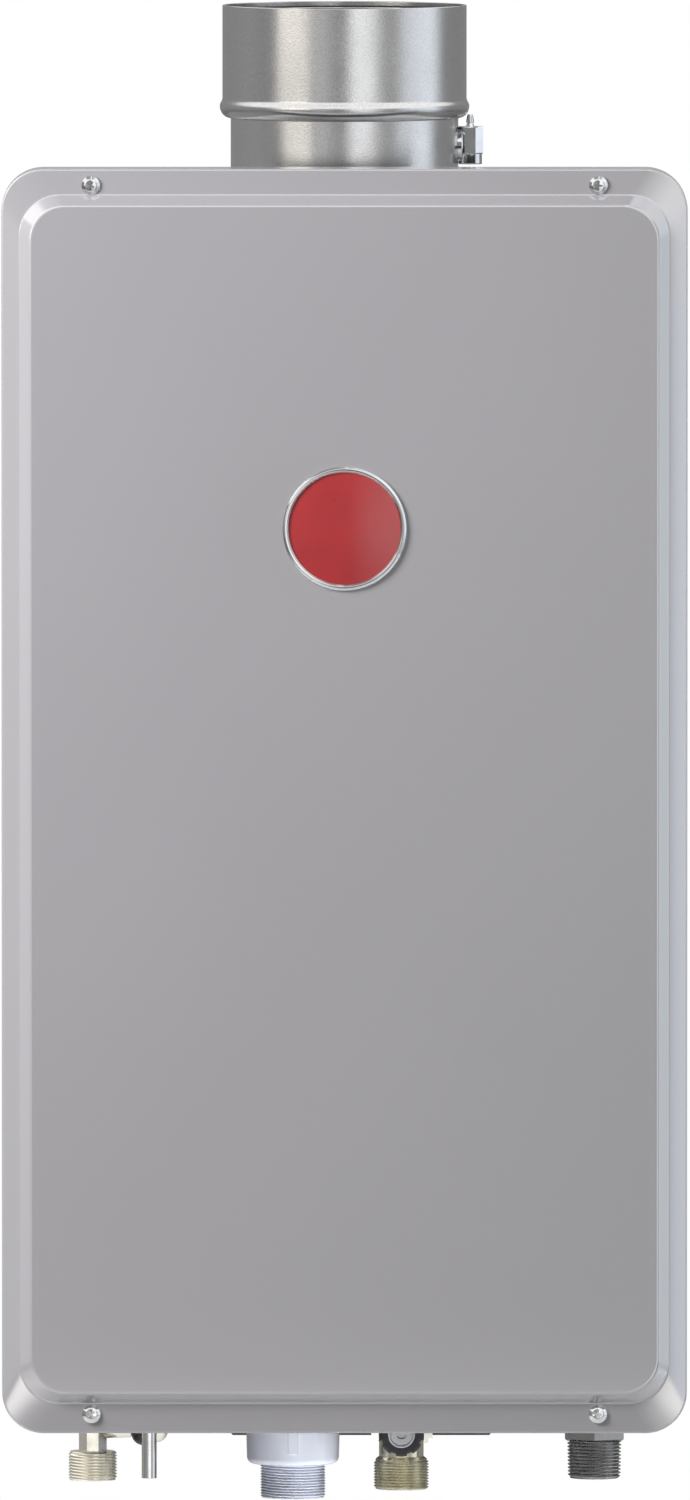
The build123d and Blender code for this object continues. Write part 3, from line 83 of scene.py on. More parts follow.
POLE = 1e-7                      # a smaller radius is a single point on the axis
WELD = 0.005 * MM                # closer vertices of a carried node are one
LEVEL = math.radians(1)          # faces that bend less are one flat face
EDGE_ALONE = 0.99                # share of an edge that a round may take
EDGE_SHARED = 0.49               # the same where the edge's other end has a round too
MIX_INPUTS = (0, 6, 7)           # a Mix node's share and its two colours
MIX_RESULT = 2

Colour = Spot = tuple[float, float, float]
Point = tuple[float, float]
Corner = tuple[float, ...]       # a point of a profile, with the radius of its round where it has one


class Facing(Enum):
    """The way that a turned form's own Z axis points: a turn in degrees about an axis of the frame."""

    UP = (0, "Z")
    FRONT = (90, "X")
    RIGHT = (90, "Y")

    def place(self, *origin: float) -> Matrix:
        """Give the matrix that carries a form from its own axis to a place in the frame."""
        angle, axis = self.value
        return Matrix.Translation(origin) @ Matrix.Rotation(math.radians(angle), 4, axis)


def linear(*levels: int) -> Colour:
    """Turn red, green and blue levels of 0 to 255 into a linear colour, by the sRGB curve."""
    shares = [level / 255 for level in levels]
    return tuple(share / 12.92 if share <= 0.04045 else ((share + 0.055) / 1.055) ** 2.4 for share in shares)


def grey(level: float, warmth: float = 0.0) -> Colour:
    """Give a grey of a level, warmer or cooler by a share."""
    return level * (1 + warmth), level, level * (1 - 1.5 * warmth)


def feed_node(tree: NodeTree, node: Node, feeds: dict[int | str, object]) -> None:
    """Feed a node's inputs.

    Args:
        tree: The tree of a material, a world or a growth.
        node: A node of that tree.
        feeds: Sockets or constants, by the input's number or its name with spaces as underscores.
    """
    for key, value in feeds.items():
        socket = node.inputs[key.replace("_", " ") if isinstance(key, str) else key]
        if isinstance(value, NodeSocket):
            tree.links.new(value, socket)
        else:
            socket.default_value = (*value, 1.0) if socket.type == "RGBA" else value


def add_node(tree: NodeTree, kind: str, *values: object, **named: object) -> Node:
    """Add a node to a tree and feed its inputs.

    Args:
        tree: The tree of a material, a world or a growth.
        kind: The node's type.
        values: What feeds its first inputs, in order.
        named: What feeds other inputs, by name.

    Returns:
        The node.
    """
    node = tree.nodes.new(kind)
    feed_node(tree, node, {**dict(enumerate(values)), **named})
    return node


def math_node(tree: NodeTree, operation: str, *values: object) -> NodeSocket:
    """Add a Math node to a tree.

    Args:
        tree: The tree of a material, a world or a growth.
        operation: The node's operation.
        values: The sockets or numbers that feed it, in order.

    Returns:
        The result's socket.
    """
    node = tree.nodes.new("ShaderNodeMath")
    node.operation = operation
    feed_node(tree, node, dict(enumerate(values)))
    return node.outputs[0]


def mix_node(tree: NodeTree, share: object, first: object, second: object, kind: str = "MIX") -> NodeSocket:
    """Mix two colours.

    Args:
        tree: The tree of a material or a world.
        share: 0 for the first colour, 1 for the second.
        first: A socket or a linear colour.
        second: A socket or a linear colour.
        kind: The way of mixing.

    Returns:
        The mixed colour's socket.
    """
    node = tree.nodes.new("ShaderNodeMix")
    node.data_type = "RGBA"
    node.blend_type = kind
    feed_node(tree, node, dict(zip(MIX_INPUTS, (share, first, second))))
    return node.outputs[MIX_RESULT]


class Shader:
    """A material's node tree, with short calls for the nodes that the finishes share."""

    def __init__(self, name: str) -> None:
        """Start a material with one Principled shader and Object coordinates.

        Args:
            name: The material's name.
        """
        self.material = bpy.data.materials.new(name)
        self.material.use_nodes = True
        self.tree = self.material.node_tree
        self.bsdf = self.tree.nodes["Principled BSDF"]
        self.place = self.add("ShaderNodeTexCoord").outputs["Object"]

    def add(self, kind: str, *values: object, **named: object) -> Node:
        """Add a node and feed its inputs, in order or by name."""
        return add_node(self.tree, kind, *values, **named)

    def set(self, **named: object) -> None:
        """Feed the Principled shader's own inputs."""
        feed_node(self.tree, self.bsdf, named)

    def show(self, surface: NodeSocket) -> None:
        """Put a shader of the tree on the surface, in place of the Principled one."""
        feed_node(self.tree, self.tree.nodes["Material Output"], {"Surface": surface})

    def noise(self, scale: float, detail: float = 2.0, where: NodeSocket | None = None) -> NodeSocket:
        """Give noise of about 0.5, with its waves in each metre, its octaves and its coordinates."""
        node = self.add("ShaderNodeTexNoise", Scale=scale, Detail=detail, Vector=where or self.place)
        return node.outputs[0]

    def spread(
        self, value: NodeSocket, low: float, high: float, start: float = 0.3, end: float = 0.7
    ) -> NodeSocket:
        """Map a value from the range of start to end to that of low to high."""
        limits = {"From_Min": start, "From_Max": end, "To_Min": low, "To_Max": high}
        return self.add("ShaderNodeMapRange", Value=value, **limits).outputs[0]


@dataclass(frozen=True)
class Finish:
    """A procedural finish: clouds of colour, uneven roughness, a fine relief and an optional clear coat.

    Each noise is given by its waves in a metre and its octaves.
    """

    colour: Colour
    tarnish: Colour | None = None
    variation: float = 0.0
    clouds: Point = (60.0, 3.0)
    cloud_range: Point = (0.3, 0.7)
    cloud_share: float = 1.0
    roughness: float = 0.35
    rough_span: Point = (-0.03, 0.04)
    flecks: Point = (60.0, 3.0)
    grain: Point = (1800.0, 2.0)
    grain_stretch: Spot = (1.0, 1.0, 1.0)
    grain_depth: float = 0.000008
    metallic: float = 0.0
    coat: float = 0.0
    coat_roughness: float = 0.04
    coat_index: float = 1.5
    subsurface: float = 0.0
    subsurface_radius: Spot = (0.004, 0.004, 0.005)

    def material(self, name: str) -> Material:
        """Build the finish's material.

        Args:
            name: The material's name.

        Returns:
            The material.
        """
        shader = Shader(name)
        factors = 1 - self.variation, 1 + self.variation
        ends = [tuple(level * factor for level in self.colour) for factor in factors]
        ends[1] = self.tarnish or ends[1]
        share = shader.spread(shader.noise(*self.clouds), 0.0, self.cloud_share, *self.cloud_range)
        rough = [self.roughness + offset for offset in self.rough_span]
        shader.set(
            Base_Color=mix_node(shader.tree, share, *ends), Metallic=self.metallic,
            Roughness=shader.spread(shader.noise(*self.flecks), *rough), Coat_Weight=self.coat,
            Coat_Roughness=self.coat_roughness, Coat_IOR=self.coat_index,
            Subsurface_Weight=self.subsurface, Subsurface_Radius=self.subsurface_radius,
        )
        where = shader.add("ShaderNodeMapping", Vector=shader.place, Scale=self.grain_stretch).outputs[0]
        grain = shader.noise(*self.grain, where)
        relief = shader.add("ShaderNodeBump", Height=grain, Distance=self.grain_depth)
        shader.set(Normal=relief.outputs[0])
        return shader.material


@dataclass(frozen=True)
class SatinPaint(Finish):
    """Sprayed paint under a clear lacquer, with a fine orange peel."""

    variation: float = 0.015
    clouds: Point = (5.0, 3.0)
    roughness: float = 0.42
    rough_span: Point = (-0.03, 0.03)
    flecks: Point = (4200.0, 1.0)
    grain: Point = (700.0, 2.0)
    grain_depth: float = 0.000004
    coat: float = 1.0
    coat_roughness: float = 0.09
    coat_index: float = 3.1


@dataclass(frozen=True)
class ZincSheet(Finish):
    """Galvanised sheet: faint clouds and fine bright specks."""

    variation: float = 0.07
    clouds: Point = (1300.0, 3.0)
    cloud_range: Point = (0.35, 0.65)
    roughness: float = 0.22
    rough_span: Point = (-0.03, 0.05)
    flecks: Point = (70.0, 4.0)
    grain: Point = (1300.0, 3.0)
    grain_depth: float = 0.00004
    metallic: float = 1.0


@dataclass(frozen=True)
class BareMetal(Finish):
    """Turned, cast or drawn metal with tarnish clouds and tool marks."""

    clouds: Point = (90.0, 5.0)
    cloud_range: Point = (0.4, 0.75)
    cloud_share: float = 0.5
    roughness: float = 0.25
    rough_span: Point = (-0.05, 0.10)
    flecks: Point = (90.0, 5.0)
    grain: Point = (1.0, 2.0)
    grain_stretch: Spot = (200.0, 200.0, 2500.0)
    grain_depth: float = 0.000006
    metallic: float = 1.0


@dataclass(frozen=True)
class Moulding(Finish):
    """Moulded plastic, rubber or lacquer: a little cloudiness and a fine skin."""

    variation: float = 0.06


FINISHES: dict[str, Finish] = {
    "cover_paint": SatinPaint(linear(174, 173, 178)),
    "case_paint": SatinPaint(linear(158, 158, 161), roughness=0.48, coat=0.0),
    "galvanised": ZincSheet(grey(0.62)),
    "stainless": BareMetal(grey(0.66), (0.56, 0.56, 0.55), roughness=0.1),
    "chrome": BareMetal((0.66, 0.67, 0.68), grey(0.60), roughness=0.07, grain_depth=0.000001),
    "plated_steel": BareMetal(grey(0.40), grey(0.24), roughness=0.18),
    "red_gloss": Moulding(linear(172, 42, 46), roughness=0.3, coat=1.0, grain_depth=0.000002),
    "pale_brass": BareMetal((0.97, 0.94, 0.84), (0.90, 0.85, 0.70), roughness=0.2),
    "olive_brass": BareMetal((0.72, 0.69, 0.55), (0.50, 0.46, 0.33), roughness=0.22),
    "dark_steel": BareMetal(grey(0.10), grey(0.06), roughness=0.42),
    "white_plastic": Moulding(linear(206, 210, 222), roughness=0.16, variation=0.02, subsurface=0.06),
    "cream_plastic": Moulding(linear(250, 248, 240), variation=0.03),
    "black_plastic": Moulding(linear(28, 28, 29), roughness=0.36, grain_depth=0.00002),
    "grey_plastic": Moulding(linear(168, 170, 174), roughness=0.25),
    "black_rubber": Moulding(linear(26, 26, 26), roughness=0.6, grain_depth=0.00003),
    "copper": BareMetal((0.72, 0.36, 0.22), (0.35, 0.17, 0.11), roughness=0.3, clouds=(40.0, 5.0),
                        flecks=(40.0, 5.0)),
    "cast_aluminium": BareMetal((0.62, 0.62, 0.63), grey(0.45), roughness=0.45),
    "sheet_steel": BareMetal((0.50, 0.50, 0.49), (0.34, 0.33, 0.31), roughness=0.38),
    "green_board": Moulding(linear(18, 92, 48), roughness=0.3, grain=(600.0, 2.0), grain_depth=0.00004),
}


@cache
def finish_for(slot: str) -> Material:
    """Give the material of a slot, built on its first use."""
    return FINISHES[slot].material(slot)


def new_object(name: str, data: ID) -> Object:
    """Put a mesh, a lamp or a camera in the scene as an object at the origin.

    Args:
        name: The object's name.
        data: What the object shows.

    Returns:
        The object.
    """
    obj = bpy.data.objects.new(name, data)
    bpy.context.scene.collection.objects.link(obj)
    return obj


def modify(obj: Object, kind: str, **settings: object) -> None:
    """Add a modifier to an object.

    Args:
        obj: The object.
        kind: The modifier's type.
        settings: The modifier's properties.
    """
    modifier = obj.modifiers.new(kind.lower(), kind)
    for label, value in settings.items():
        setattr(modifier, label, value)


def settle(obj: Object) -> Mesh:
    """Turn an object's modifiers into plain mesh.

    Args:
        obj: An object with modifiers, which keeps its final mesh and no modifier.

    Returns:
        The final mesh.
    """
    bpy.context.view_layer.update()
    graph = bpy.context.evaluated_depsgraph_get()
    mesh = bpy.data.meshes.new_from_object(obj.evaluated_get(graph), depsgraph=graph)
    obj.modifiers.clear()
    obj.data = mesh
    return mesh


def rounded(points: Sequence[Corner], steps: int = 6, closed: bool = False) -> list[Point]:
    """Round the corners of a polyline.

    Args:
        points: Corners as (x, y) or (x, y, radius).
        steps: Segments in each round.
        closed: Whether the last point joins the first, so that both can be rounded too.

    Returns:
        The points of the rounded line.
    """
    line: list[Point] = []
    count = len(points)
    for index, corner in enumerate(points):
        here = Vector(corner[:2])
        if len(corner) < 3 or (not closed and index in (0, count - 1)):
            line.append((here.x, here.y))
            continue
        others = points[index - 1], points[(index + 1) % count]
        before, after = (Vector(other[:2]) - here for other in others)
        room = [EDGE_SHARED if len(other) > 2 else EDGE_ALONE for other in others]
        half = before.angle(after) / 2
        reach = min(corner[2] / math.tan(half), before.length * room[0], after.length * room[1])
        start, end = here + before.normalized() * reach, here + after.normalized() * reach
        middle = here + (start + end - 2 * here).normalized() * (reach / math.cos(half))
        first = start - middle
        turn = first.angle_signed(end - middle)
        for step in range(steps + 1):
            spoke = first.copy()
            spoke.rotate(Matrix.Rotation(-turn * step / steps, 2))
            spot = middle + spoke.normalized() * (reach * math.tan(half))
            line.append((spot.x, spot.y))
    return line


def rounded_ring(half_width: float, half_height: float, radius: float, steps: int) -> list[Point]:
    """Give a rounded rectangle's outline, with the same number of points for any size.

    Args:
        half_width: Half the width.
        half_height: Half the height.
        radius: Corner radius.
        steps: Segments in each corner.

    Returns:
        The outline's points, anticlockwise from the right.
    """
    outline: list[Point] = []
    for corner, (across, up) in enumerate(((1, 1), (-1, 1), (-1, -1), (1, -1))):
        for step in range(steps + 1):
            turn = math.radians(90 * (corner + step / steps))
            outline.append((
                across * (half_width - radius) + radius * math.cos(turn),
                up * (half_height - radius) + radius * math.sin(turn),
            ))
    return outline


def corner_radius(flats: float, sides: int) -> float:
    """Give the radius to the corners of a regular polygon from its width across flats."""
    return flats / 2 / math.cos(math.pi / sides)


class Form:
    """A mesh in the making, from turned profiles and bridged rings."""

    def __init__(self) -> None:
        """Start with an empty bmesh."""
        self.work = bmesh.new()

    def ring(self, spots: Iterable[Sequence[float]], place: Matrix = Matrix.Identity(4)) -> list[BMVert]:
        """Add a ring of vertices, carried to a place."""
        return [self.work.verts.new(place @ Vector(spot)) for spot in spots]

    def bridge(self, rings: list[list[BMVert]], caps: Sequence[int] = (), loop: bool = False) -> None:
        """Join rings of equal length, one after another; a ring of one vertex is a pole.

        Args:
            rings: The rings, in order.
            caps: The numbers of the rings that get a face across.
            loop: Whether the last ring joins the first.
        """
        for low, high in zip(rings, rings[1:] + rings[:1] if loop else rings[1:]):
            for step in range(max(len(low), len(high))):
                around = ((low, step), (low, step + 1), (high, step + 1), (high, step))
                corners = list(dict.fromkeys(ring[turn % len(ring)] for ring, turn in around))
                if len(corners) > 2:
                    self.work.faces.new(corners)
        for cap in caps:
            self.work.faces.new(rings[cap])

    def turn(
        self, profile: Sequence[Corner], place: Matrix, sides: int = 96, steps: int = 6, closed: bool = False,
        flat: bool = False,
    ) -> "Form":
        """Turn a profile about its own Z axis.

        Args:
            profile: Points as (radius, height) or (radius, height, round); a radius of 0 is a pole.
            place: Carries the turned form from its own axis to its place.
            sides: Faces round the axis, few for a hexagon or an octagon.
            steps: Segments in each round.
            closed: Whether the first and the last point can be rounded too.
            flat: Whether a face and not a corner looks along the X axis.

        Returns:
            This form.
        """
        turns = [math.tau * (step + flat / 2) / sides for step in range(sides)]
        rings = []
        for radius, height in rounded(profile, steps, closed):
            around = turns if radius > POLE else turns[:1]
            spots = ((radius * math.cos(angle), radius * math.sin(angle), height) for angle in around)
            rings.append(self.ring(spots, place))
        self.bridge(rings, loop=True)
        return self

    def mesh(self, name: str) -> Mesh:
        """Turn the faces outwards and give the finished mesh.

        Args:
            name: The mesh's name.

        Returns:
            The mesh; the bmesh is gone.
        """
        bmesh.ops.recalc_face_normals(self.work, faces=self.work.faces)
        mesh = bpy.data.meshes.new(name)
        self.work.to_mesh(mesh)
        self.work.free()
        return mesh


@dataclass(frozen=True)
class Piece:
    """One finished object: its name, the node that it stands in for and its edges."""

    name: str
    node: str
    crease: float = 40.0
    bevel: float = 0.0
    sheet: float = 0.0

    def dress(self, mesh: Mesh) -> None:
        """Finish a mesh that is in its place, and hand it to the frame.

        Args:
            mesh: The piece's mesh.
        """
        slot = NODE_SLOT[self.node]
        mesh.name = self.name
        mesh.materials.clear()
        mesh.materials.append(finish_for(slot))
        mesh.shade_smooth()
        crease = math.radians(self.crease)
        mesh.set_sharp_from_angle(angle=crease)
        obj = new_object(self.name, mesh)
        if self.sheet:
            modify(obj, "SOLIDIFY", thickness=self.sheet, offset=-1.0)
        if self.bevel:
            modify(obj, "BEVEL", width=self.bevel, segments=2, limit_method="ANGLE", angle_limit=crease)
        modify(obj, "WEIGHTED_NORMAL", keep_sharp=True)
        settle(obj)
        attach(obj, NODE_BODY[self.node])
        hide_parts(self.node)
        DRESSED.add(self.node)
        LOG.info("%s: %d faces, %s", self.name, len(obj.data.polygons), slot)

    def shape(self, form: Form) -> None:
        """Dress a finished form."""
        self.dress(form.mesh(self.name))

    def turned(self, profile: Sequence[Corner], place: Matrix, sides: int, **rounding: int) -> None:
        """Turn the piece from one profile and dress it."""
        self.shape(Form().turn(profile, place, sides, **rounding))


class Growth:
    """A Geometry Nodes tree with named inputs, ending in Realize Instances and Set Material."""

    def __init__(self, name: str, **inputs: Sequence[str]) -> None:
        """Start a tree.

        Args:
            name: The tree's name.
            inputs: The names of its inputs by their kind, such as Float or Object.
        """
        self.tree = bpy.data.node_groups.new(name, "GeometryNodeTree")
        sockets = [(label, "INPUT", kind) for kind, labels in inputs.items() for label in labels]
        sockets += [("Material", "INPUT", "Material"), ("Geometry", "OUTPUT", "Geometry")]
        for label, way, kind in sockets:
            self.tree.interface.new_socket(name=label, in_out=way, socket_type=f"NodeSocket{kind}")
        self.given = self.tree.nodes.new("NodeGroupInput").outputs
        self.result = self.tree.nodes.new("NodeGroupOutput")

    def node(self, kind: str, **named: object) -> Node:
        """Add a Geometry node, with its type given without the prefix, and feed its inputs."""
        return add_node(self.tree, f"GeometryNode{kind}", **named)

    def math(self, operation: str, *values: object) -> NodeSocket:
        """Work out one value from others with a Math node."""
        return math_node(self.tree, operation, *values)

    def end(self, geometry: NodeSocket) -> None:
        """Realize what was grown and give it its material.

        Args:
            geometry: What was grown.
        """
        real = self.node("RealizeInstances", Geometry=geometry)
        painted = self.node("SetMaterial", Geometry=real.outputs[0], Material=self.given["Material"])
        feed_node(self.tree, self.result, {"Geometry": painted.outputs[0]})

    def grow(self, slot: str, **settings: object) -> Mesh:
        """Run the tree on an empty mesh.

        Args:
            slot: The material slot of what is grown.
            settings: Input names, with spaces as underscores, and their values.

        Returns:
            The plain mesh.
        """
        host = new_object(self.tree.name, bpy.data.meshes.new(self.tree.name))
        growth = host.modifiers.new(self.tree.name, "NODES")
        growth.node_group = self.tree
        values = {label.replace("_", " "): value for label, value in settings.items()}
        values["Material"] = finish_for(slot)
        for item in self.tree.interface.items_tree:
            if item.in_out == "INPUT":
                growth[item.identifier] = values[item.name]
        mesh = settle(host)
        bpy.data.objects.remove(host)
        return mesh


@cache
def thread_growth() -> Growth:
    """Build the tree of a threaded sleeve that hangs down from its own origin.

    The rows of its grid follow the helix, so that crests and roots run along edges.

    Returns:
        A tree whose inputs are the thread's sizes, in metres, and its counts.
    """
    grown = Growth(
        "threaded_sleeve", Float=("Major Radius", "Bore Radius", "Length", "Turns", "Depth", "Taper"),
        Int=("Sides", "Rows Each Turn"), Vector=("Origin",),
    )
    given, sums = grown.given, grown.math
    each, fade_rate = given["Rows Each Turn"], 1.6
    last = sums("ROUND", sums("MULTIPLY_ADD", sums("ADD", given["Turns"], 1.0), each, 3.0))
    rows = sums("ADD", last, 1.0)
    grid = grown.node("MeshGrid", Size_X=1.0, Size_Y=1.0, Vertices_X=given["Sides"], Vertices_Y=rows)
    spot = add_node(grown.tree, "ShaderNodeSeparateXYZ", grown.node("InputPosition").outputs[0]).outputs
    turn = sums("ADD", spot["X"], 0.5)
    row = sums("ROUND", sums("MULTIPLY", sums("ADD", spot["Y"], 0.5), last))
    inner = sums("ADD", sums("LESS_THAN", row, 0.5), sums("GREATER_THAN", row, sums("SUBTRACT", last, 1.5)))
    closing = sums("GREATER_THAN", row, sums("SUBTRACT", last, 0.5))
    lead = sums("DIVIDE", sums("SUBTRACT", row, 1.0), each)
    run = sums("ADD", sums("SUBTRACT", lead, 1.0), turn)
    run = sums("MINIMUM", sums("MAXIMUM", run, 0.0), given["Turns"])
    share = sums("DIVIDE", run, given["Turns"])
    drop = sums("MULTIPLY", sums("MULTIPLY", share, given["Length"]), sums("SUBTRACT", 1.0, closing))
    crest = sums("MULTIPLY_ADD", sums("COSINE", sums("MULTIPLY", lead, math.tau)), -0.5, 0.5)
    from_end = sums("MINIMUM", run, sums("SUBTRACT", given["Turns"], run))
    fade = sums("MINIMUM", sums("MULTIPLY", from_end, fade_rate), 1.0)
    cut = sums("MULTIPLY", given["Depth"], sums("SUBTRACT", 1.0, sums("MULTIPLY", crest, fade)))
    outer = sums("SUBTRACT", given["Major Radius"], sums("ADD", cut, sums("MULTIPLY", share, given["Taper"])))
    bore = sums("MULTIPLY", given["Bore Radius"], inner)
    radius = sums("ADD", sums("MULTIPLY", outer, sums("SUBTRACT", 1.0, inner)), bore)
    angle = sums("MULTIPLY", turn, math.tau)
    across, along = (sums("MULTIPLY", radius, sums(wave, angle)) for wave in ("COSINE", "SINE"))
    down = sums("MULTIPLY", drop, -1.0)
    place = add_node(grown.tree, "ShaderNodeCombineXYZ", across, along, down).outputs[0]
    shaped = grown.node("SetPosition", Geometry=grid.outputs[0], Position=place, Offset=given["Origin"])
    grown.end(grown.node("MergeByDistance", Geometry=shaped.outputs[0], Distance=1e-6).outputs[0])
    return grown


@cache
def lattice_growth() -> Growth:
    """Build the tree that sets copies of one object on a grid in the XZ plane, each with its own turn.

    Returns:
        A tree whose inputs are the object, the grid's counts and spans, its middle and the largest turn.
    """
    grown = Growth(
        "lattice_of_copies", Object=("Copy",), Int=("Columns", "Levels", "Seed"),
        Float=("Span", "Rise", "Largest Turn"), Vector=("Middle",),
    )
    given = grown.given
    grid = grown.node("MeshGrid", Size_X=given["Span"], Size_Y=given["Rise"],
                      Vertices_X=given["Columns"], Vertices_Y=given["Levels"])
    upright = (math.radians(90), 0.0, 0.0)
    stood = grown.node("Transform", Geometry=grid.outputs[0], Translation=given["Middle"], Rotation=upright)
    points = grown.node("MeshToPoints", Mesh=stood.outputs[0])
    chance = add_node(grown.tree, "FunctionNodeRandomValue")
    chance.data_type = "FLOAT"
    feed_node(grown.tree, chance, {3: given["Largest Turn"], "Seed": given["Seed"]})
    turn = add_node(grown.tree, "ShaderNodeCombineXYZ", Y=chance.outputs[1])
    copy = grown.node("ObjectInfo", Object=given["Copy"])
    copies = grown.node("InstanceOnPoints", Points=points.outputs[0], Instance=copy.outputs["Geometry"],
                        Rotation=turn.outputs[0])
    grown.end(copies.outputs[0])
    return grown


def standing(node: str) -> tuple[Matrix, float, float]:
    """Give the place in the middle of a node's foot, its height and its radius."""
    (low, high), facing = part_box(node), Facing.UP
    return facing.place((low.x + high.x) / 2, (low.y + high.y) / 2, low.z), high.z - low.z, (high.x - low.x) / 2


def pointing(node: str) -> tuple[Matrix, float, float]:
    """Give the place in the middle of a node's left end, its length to the right and its radius."""
    (low, high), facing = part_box(node), Facing.RIGHT
    return facing.place(low.x, (low.y + high.y) / 2, (low.z + high.z) / 2), high.x - low.x, (high.z - low.z) / 2


@dataclass
class FrontCover:
    """The drawn cover with its flange, step and raised panel, its screws and its badge."""

    sheet: float = 0.8 * MM
    corner: float = 21.5 * MM
    corner_steps: int = 16
    edge_round: float = 1.1 * MM
    skirt: float = 32.0 * MM
    tuck: float = 0.4 * MM
    side_flange: float = 9.4 * MM
    end_flange: float = 14.6 * MM
    flange_fall: float = 1.2 * MM
    panel_lift: float = 1.2 * MM
    step_width: float = 5.3 * MM
    step_rise: float = 6.0 * MM
    step_corner: float = 20.6 * MM
    foot_round: float = 1.4 * MM
    crown_round: float = 2.2 * MM
    screw_span: float = 261.0 * MM
    screw_inset: float = 9.2 * MM
    screw_lift: float = 0.9 * MM
    screw_sink: float = 0.4 * MM
    screw_turn: float = 1.2
    screw_radius: float = 4.9 * MM
    screw_height: float = 2.8 * MM
    recess_width: float = 1.0 * MM
    recess_span: float = 4.2 * MM
    recess_depth: float = 0.9 * MM
    badge_height: float = 141.3 * MM
    bezel_width: float = 3.1 * MM
    dome_edge: float = 0.42
    dome_steps: int = 16
    low: Vector = field(default_factory=lambda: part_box("front_cover")[0])
    high: Vector = field(default_factory=lambda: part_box("front_cover")[1])

    def flange_share(self, inset: float) -> float:
        """Give how far across the flange an inset lies, from 0 at the edge to 1 at the step's foot."""
        return min(max((inset - self.edge_round) / (self.side_flange - self.edge_round), 0.0), 1.0)

    def end_inset(self, inset: float) -> float:
        """Give the inset at the cover's ends for an inset at its sides: the flange is wider there."""
        return inset + self.flange_share(inset) * (self.end_flange - self.side_flange)

    def ring_corner(self, inset: float) -> float:
        """Give the corner radius of the outline at an inset.

        Args:
            inset: Distance inside the cover's sides.

        Returns:
            The radius.
        """
        if inset <= self.edge_round:
            return self.corner - inset
        if inset <= self.side_flange:
            start = self.corner - self.edge_round
            return start + self.flange_share(inset) * (self.step_corner - start)
        return self.step_corner - (inset - self.side_flange) / 2

    def build_skin(self) -> None:
        """Draw the pan as rings of rounded rectangles along its profile."""
        front = -self.low.y
        flange = front - self.step_rise
        crown = self.side_flange + self.step_width
        form = Form()
        rings = []
        for inset, depth in rounded([
            (0.0, flange - self.skirt), (0.0, flange - self.skirt + self.tuck),
            (0.0, flange - self.flange_fall, self.edge_round), (self.side_flange, flange, self.foot_round),
            (crown, front, self.crown_round), (crown + 4 * self.crown_round, front),
        ], steps=8):
            half = self.high.x - inset, self.high.z - self.end_inset(inset)
            lift = self.flange_share(inset) * self.panel_lift
            outline = rounded_ring(*half, self.ring_corner(inset), self.corner_steps)
            rings.append(form.ring((across, -depth, up + lift) for across, up in outline))
        form.bridge(rings, caps=(-1,))
        Piece("cover_skin", "front_cover", sheet=self.sheet).shape(form)

    def screw(self) -> Object:
        """Make one domed cross-recess screw at the origin, facing the front.

        Returns:
            The screw, to be copied.
        """
        radius, height = self.screw_radius, self.screw_height
        shank, foot = 0.45 * radius, -3 * height
        head = Form().turn([
            (0.0, foot), (shank, foot), (shank, 0.0), (radius, 0.0, 0.2 * MM),
            (radius, 0.35 * height, 0.8 * MM), (0.62 * radius, 0.88 * height, 2.0 * MM), (0.0, height),
        ], Facing.FRONT.place(0, 0, 0), sides=40, steps=5)
        cross = Form()
        size = Matrix.Diagonal((self.recess_span, 2 * self.recess_depth, self.recess_width, 1))
        for turn in (0, 90):
            spin = Matrix.Rotation(math.radians(turn), 4, "Y")
            bmesh.ops.create_cube(cross.work, matrix=spin @ Matrix.Translation((0, -height, 0)) @ size)
        cutter = new_object("recess", cross.mesh("recess"))
        screw = new_object("screw", head.mesh("screw"))
        modify(screw, "BOOLEAN", object=cutter, solver="EXACT", use_self=True)
        settle(screw)
        bpy.data.objects.remove(cutter)
        return screw

    def build_screws(self) -> None:
        """Set the four screws on the flange."""
        screw = self.screw()
        middle = (0.0, self.low.y + self.step_rise + self.screw_sink, self.screw_lift)
        mesh = lattice_growth().grow(
            "chrome", Copy=screw, Columns=2, Levels=2, Span=self.screw_span,
            Rise=2 * (self.high.z - self.screw_inset), Middle=middle, Largest_Turn=self.screw_turn, Seed=7,
        )
        bpy.data.objects.remove(screw)
        Piece("cover_screw_set", "cover_screws").dress(mesh)

    def build_badge(self) -> None:
        """Turn the bezel and the red dome inside it."""
        low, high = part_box("badge_ring")
        radius, height, width = (high.x - low.x) / 2, high.y - low.y, self.bezel_width
        place = Facing.FRONT.place(0, high.y, self.badge_height)
        Piece("badge_bezel", "badge_ring", crease=50).turned([
            (radius - width, 0.0), (radius, 0.0, 0.3 * MM), (radius, 0.55 * height, 1.0 * MM),
            (radius - 0.38 * width, height, 0.7 * MM), (radius - 0.72 * width, 0.96 * height, 0.5 * MM),
            (radius - width, 0.55 * height, 0.3 * MM),
        ], place, 160, closed=True)
        low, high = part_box("badge_dome")
        radius, height = (high.x - low.x) / 2, high.y - low.y
        edge = self.dome_edge * height
        dome = [(0.0, 0.0), (radius, 0.0), (radius, edge)]
        for share in (step / self.dome_steps for step in range(1, self.dome_steps + 1)):
            dome.append((radius * (1 - share), edge + (height - edge) * math.sin(math.pi / 2 * share)))
        Piece("badge_red", "badge_dome", crease=50).turned(dome, place, 160)

    def build(self) -> None:
        """Build the cover, its screws and its badge."""
        self.build_skin()
        self.build_screws()
        self.build_badge()


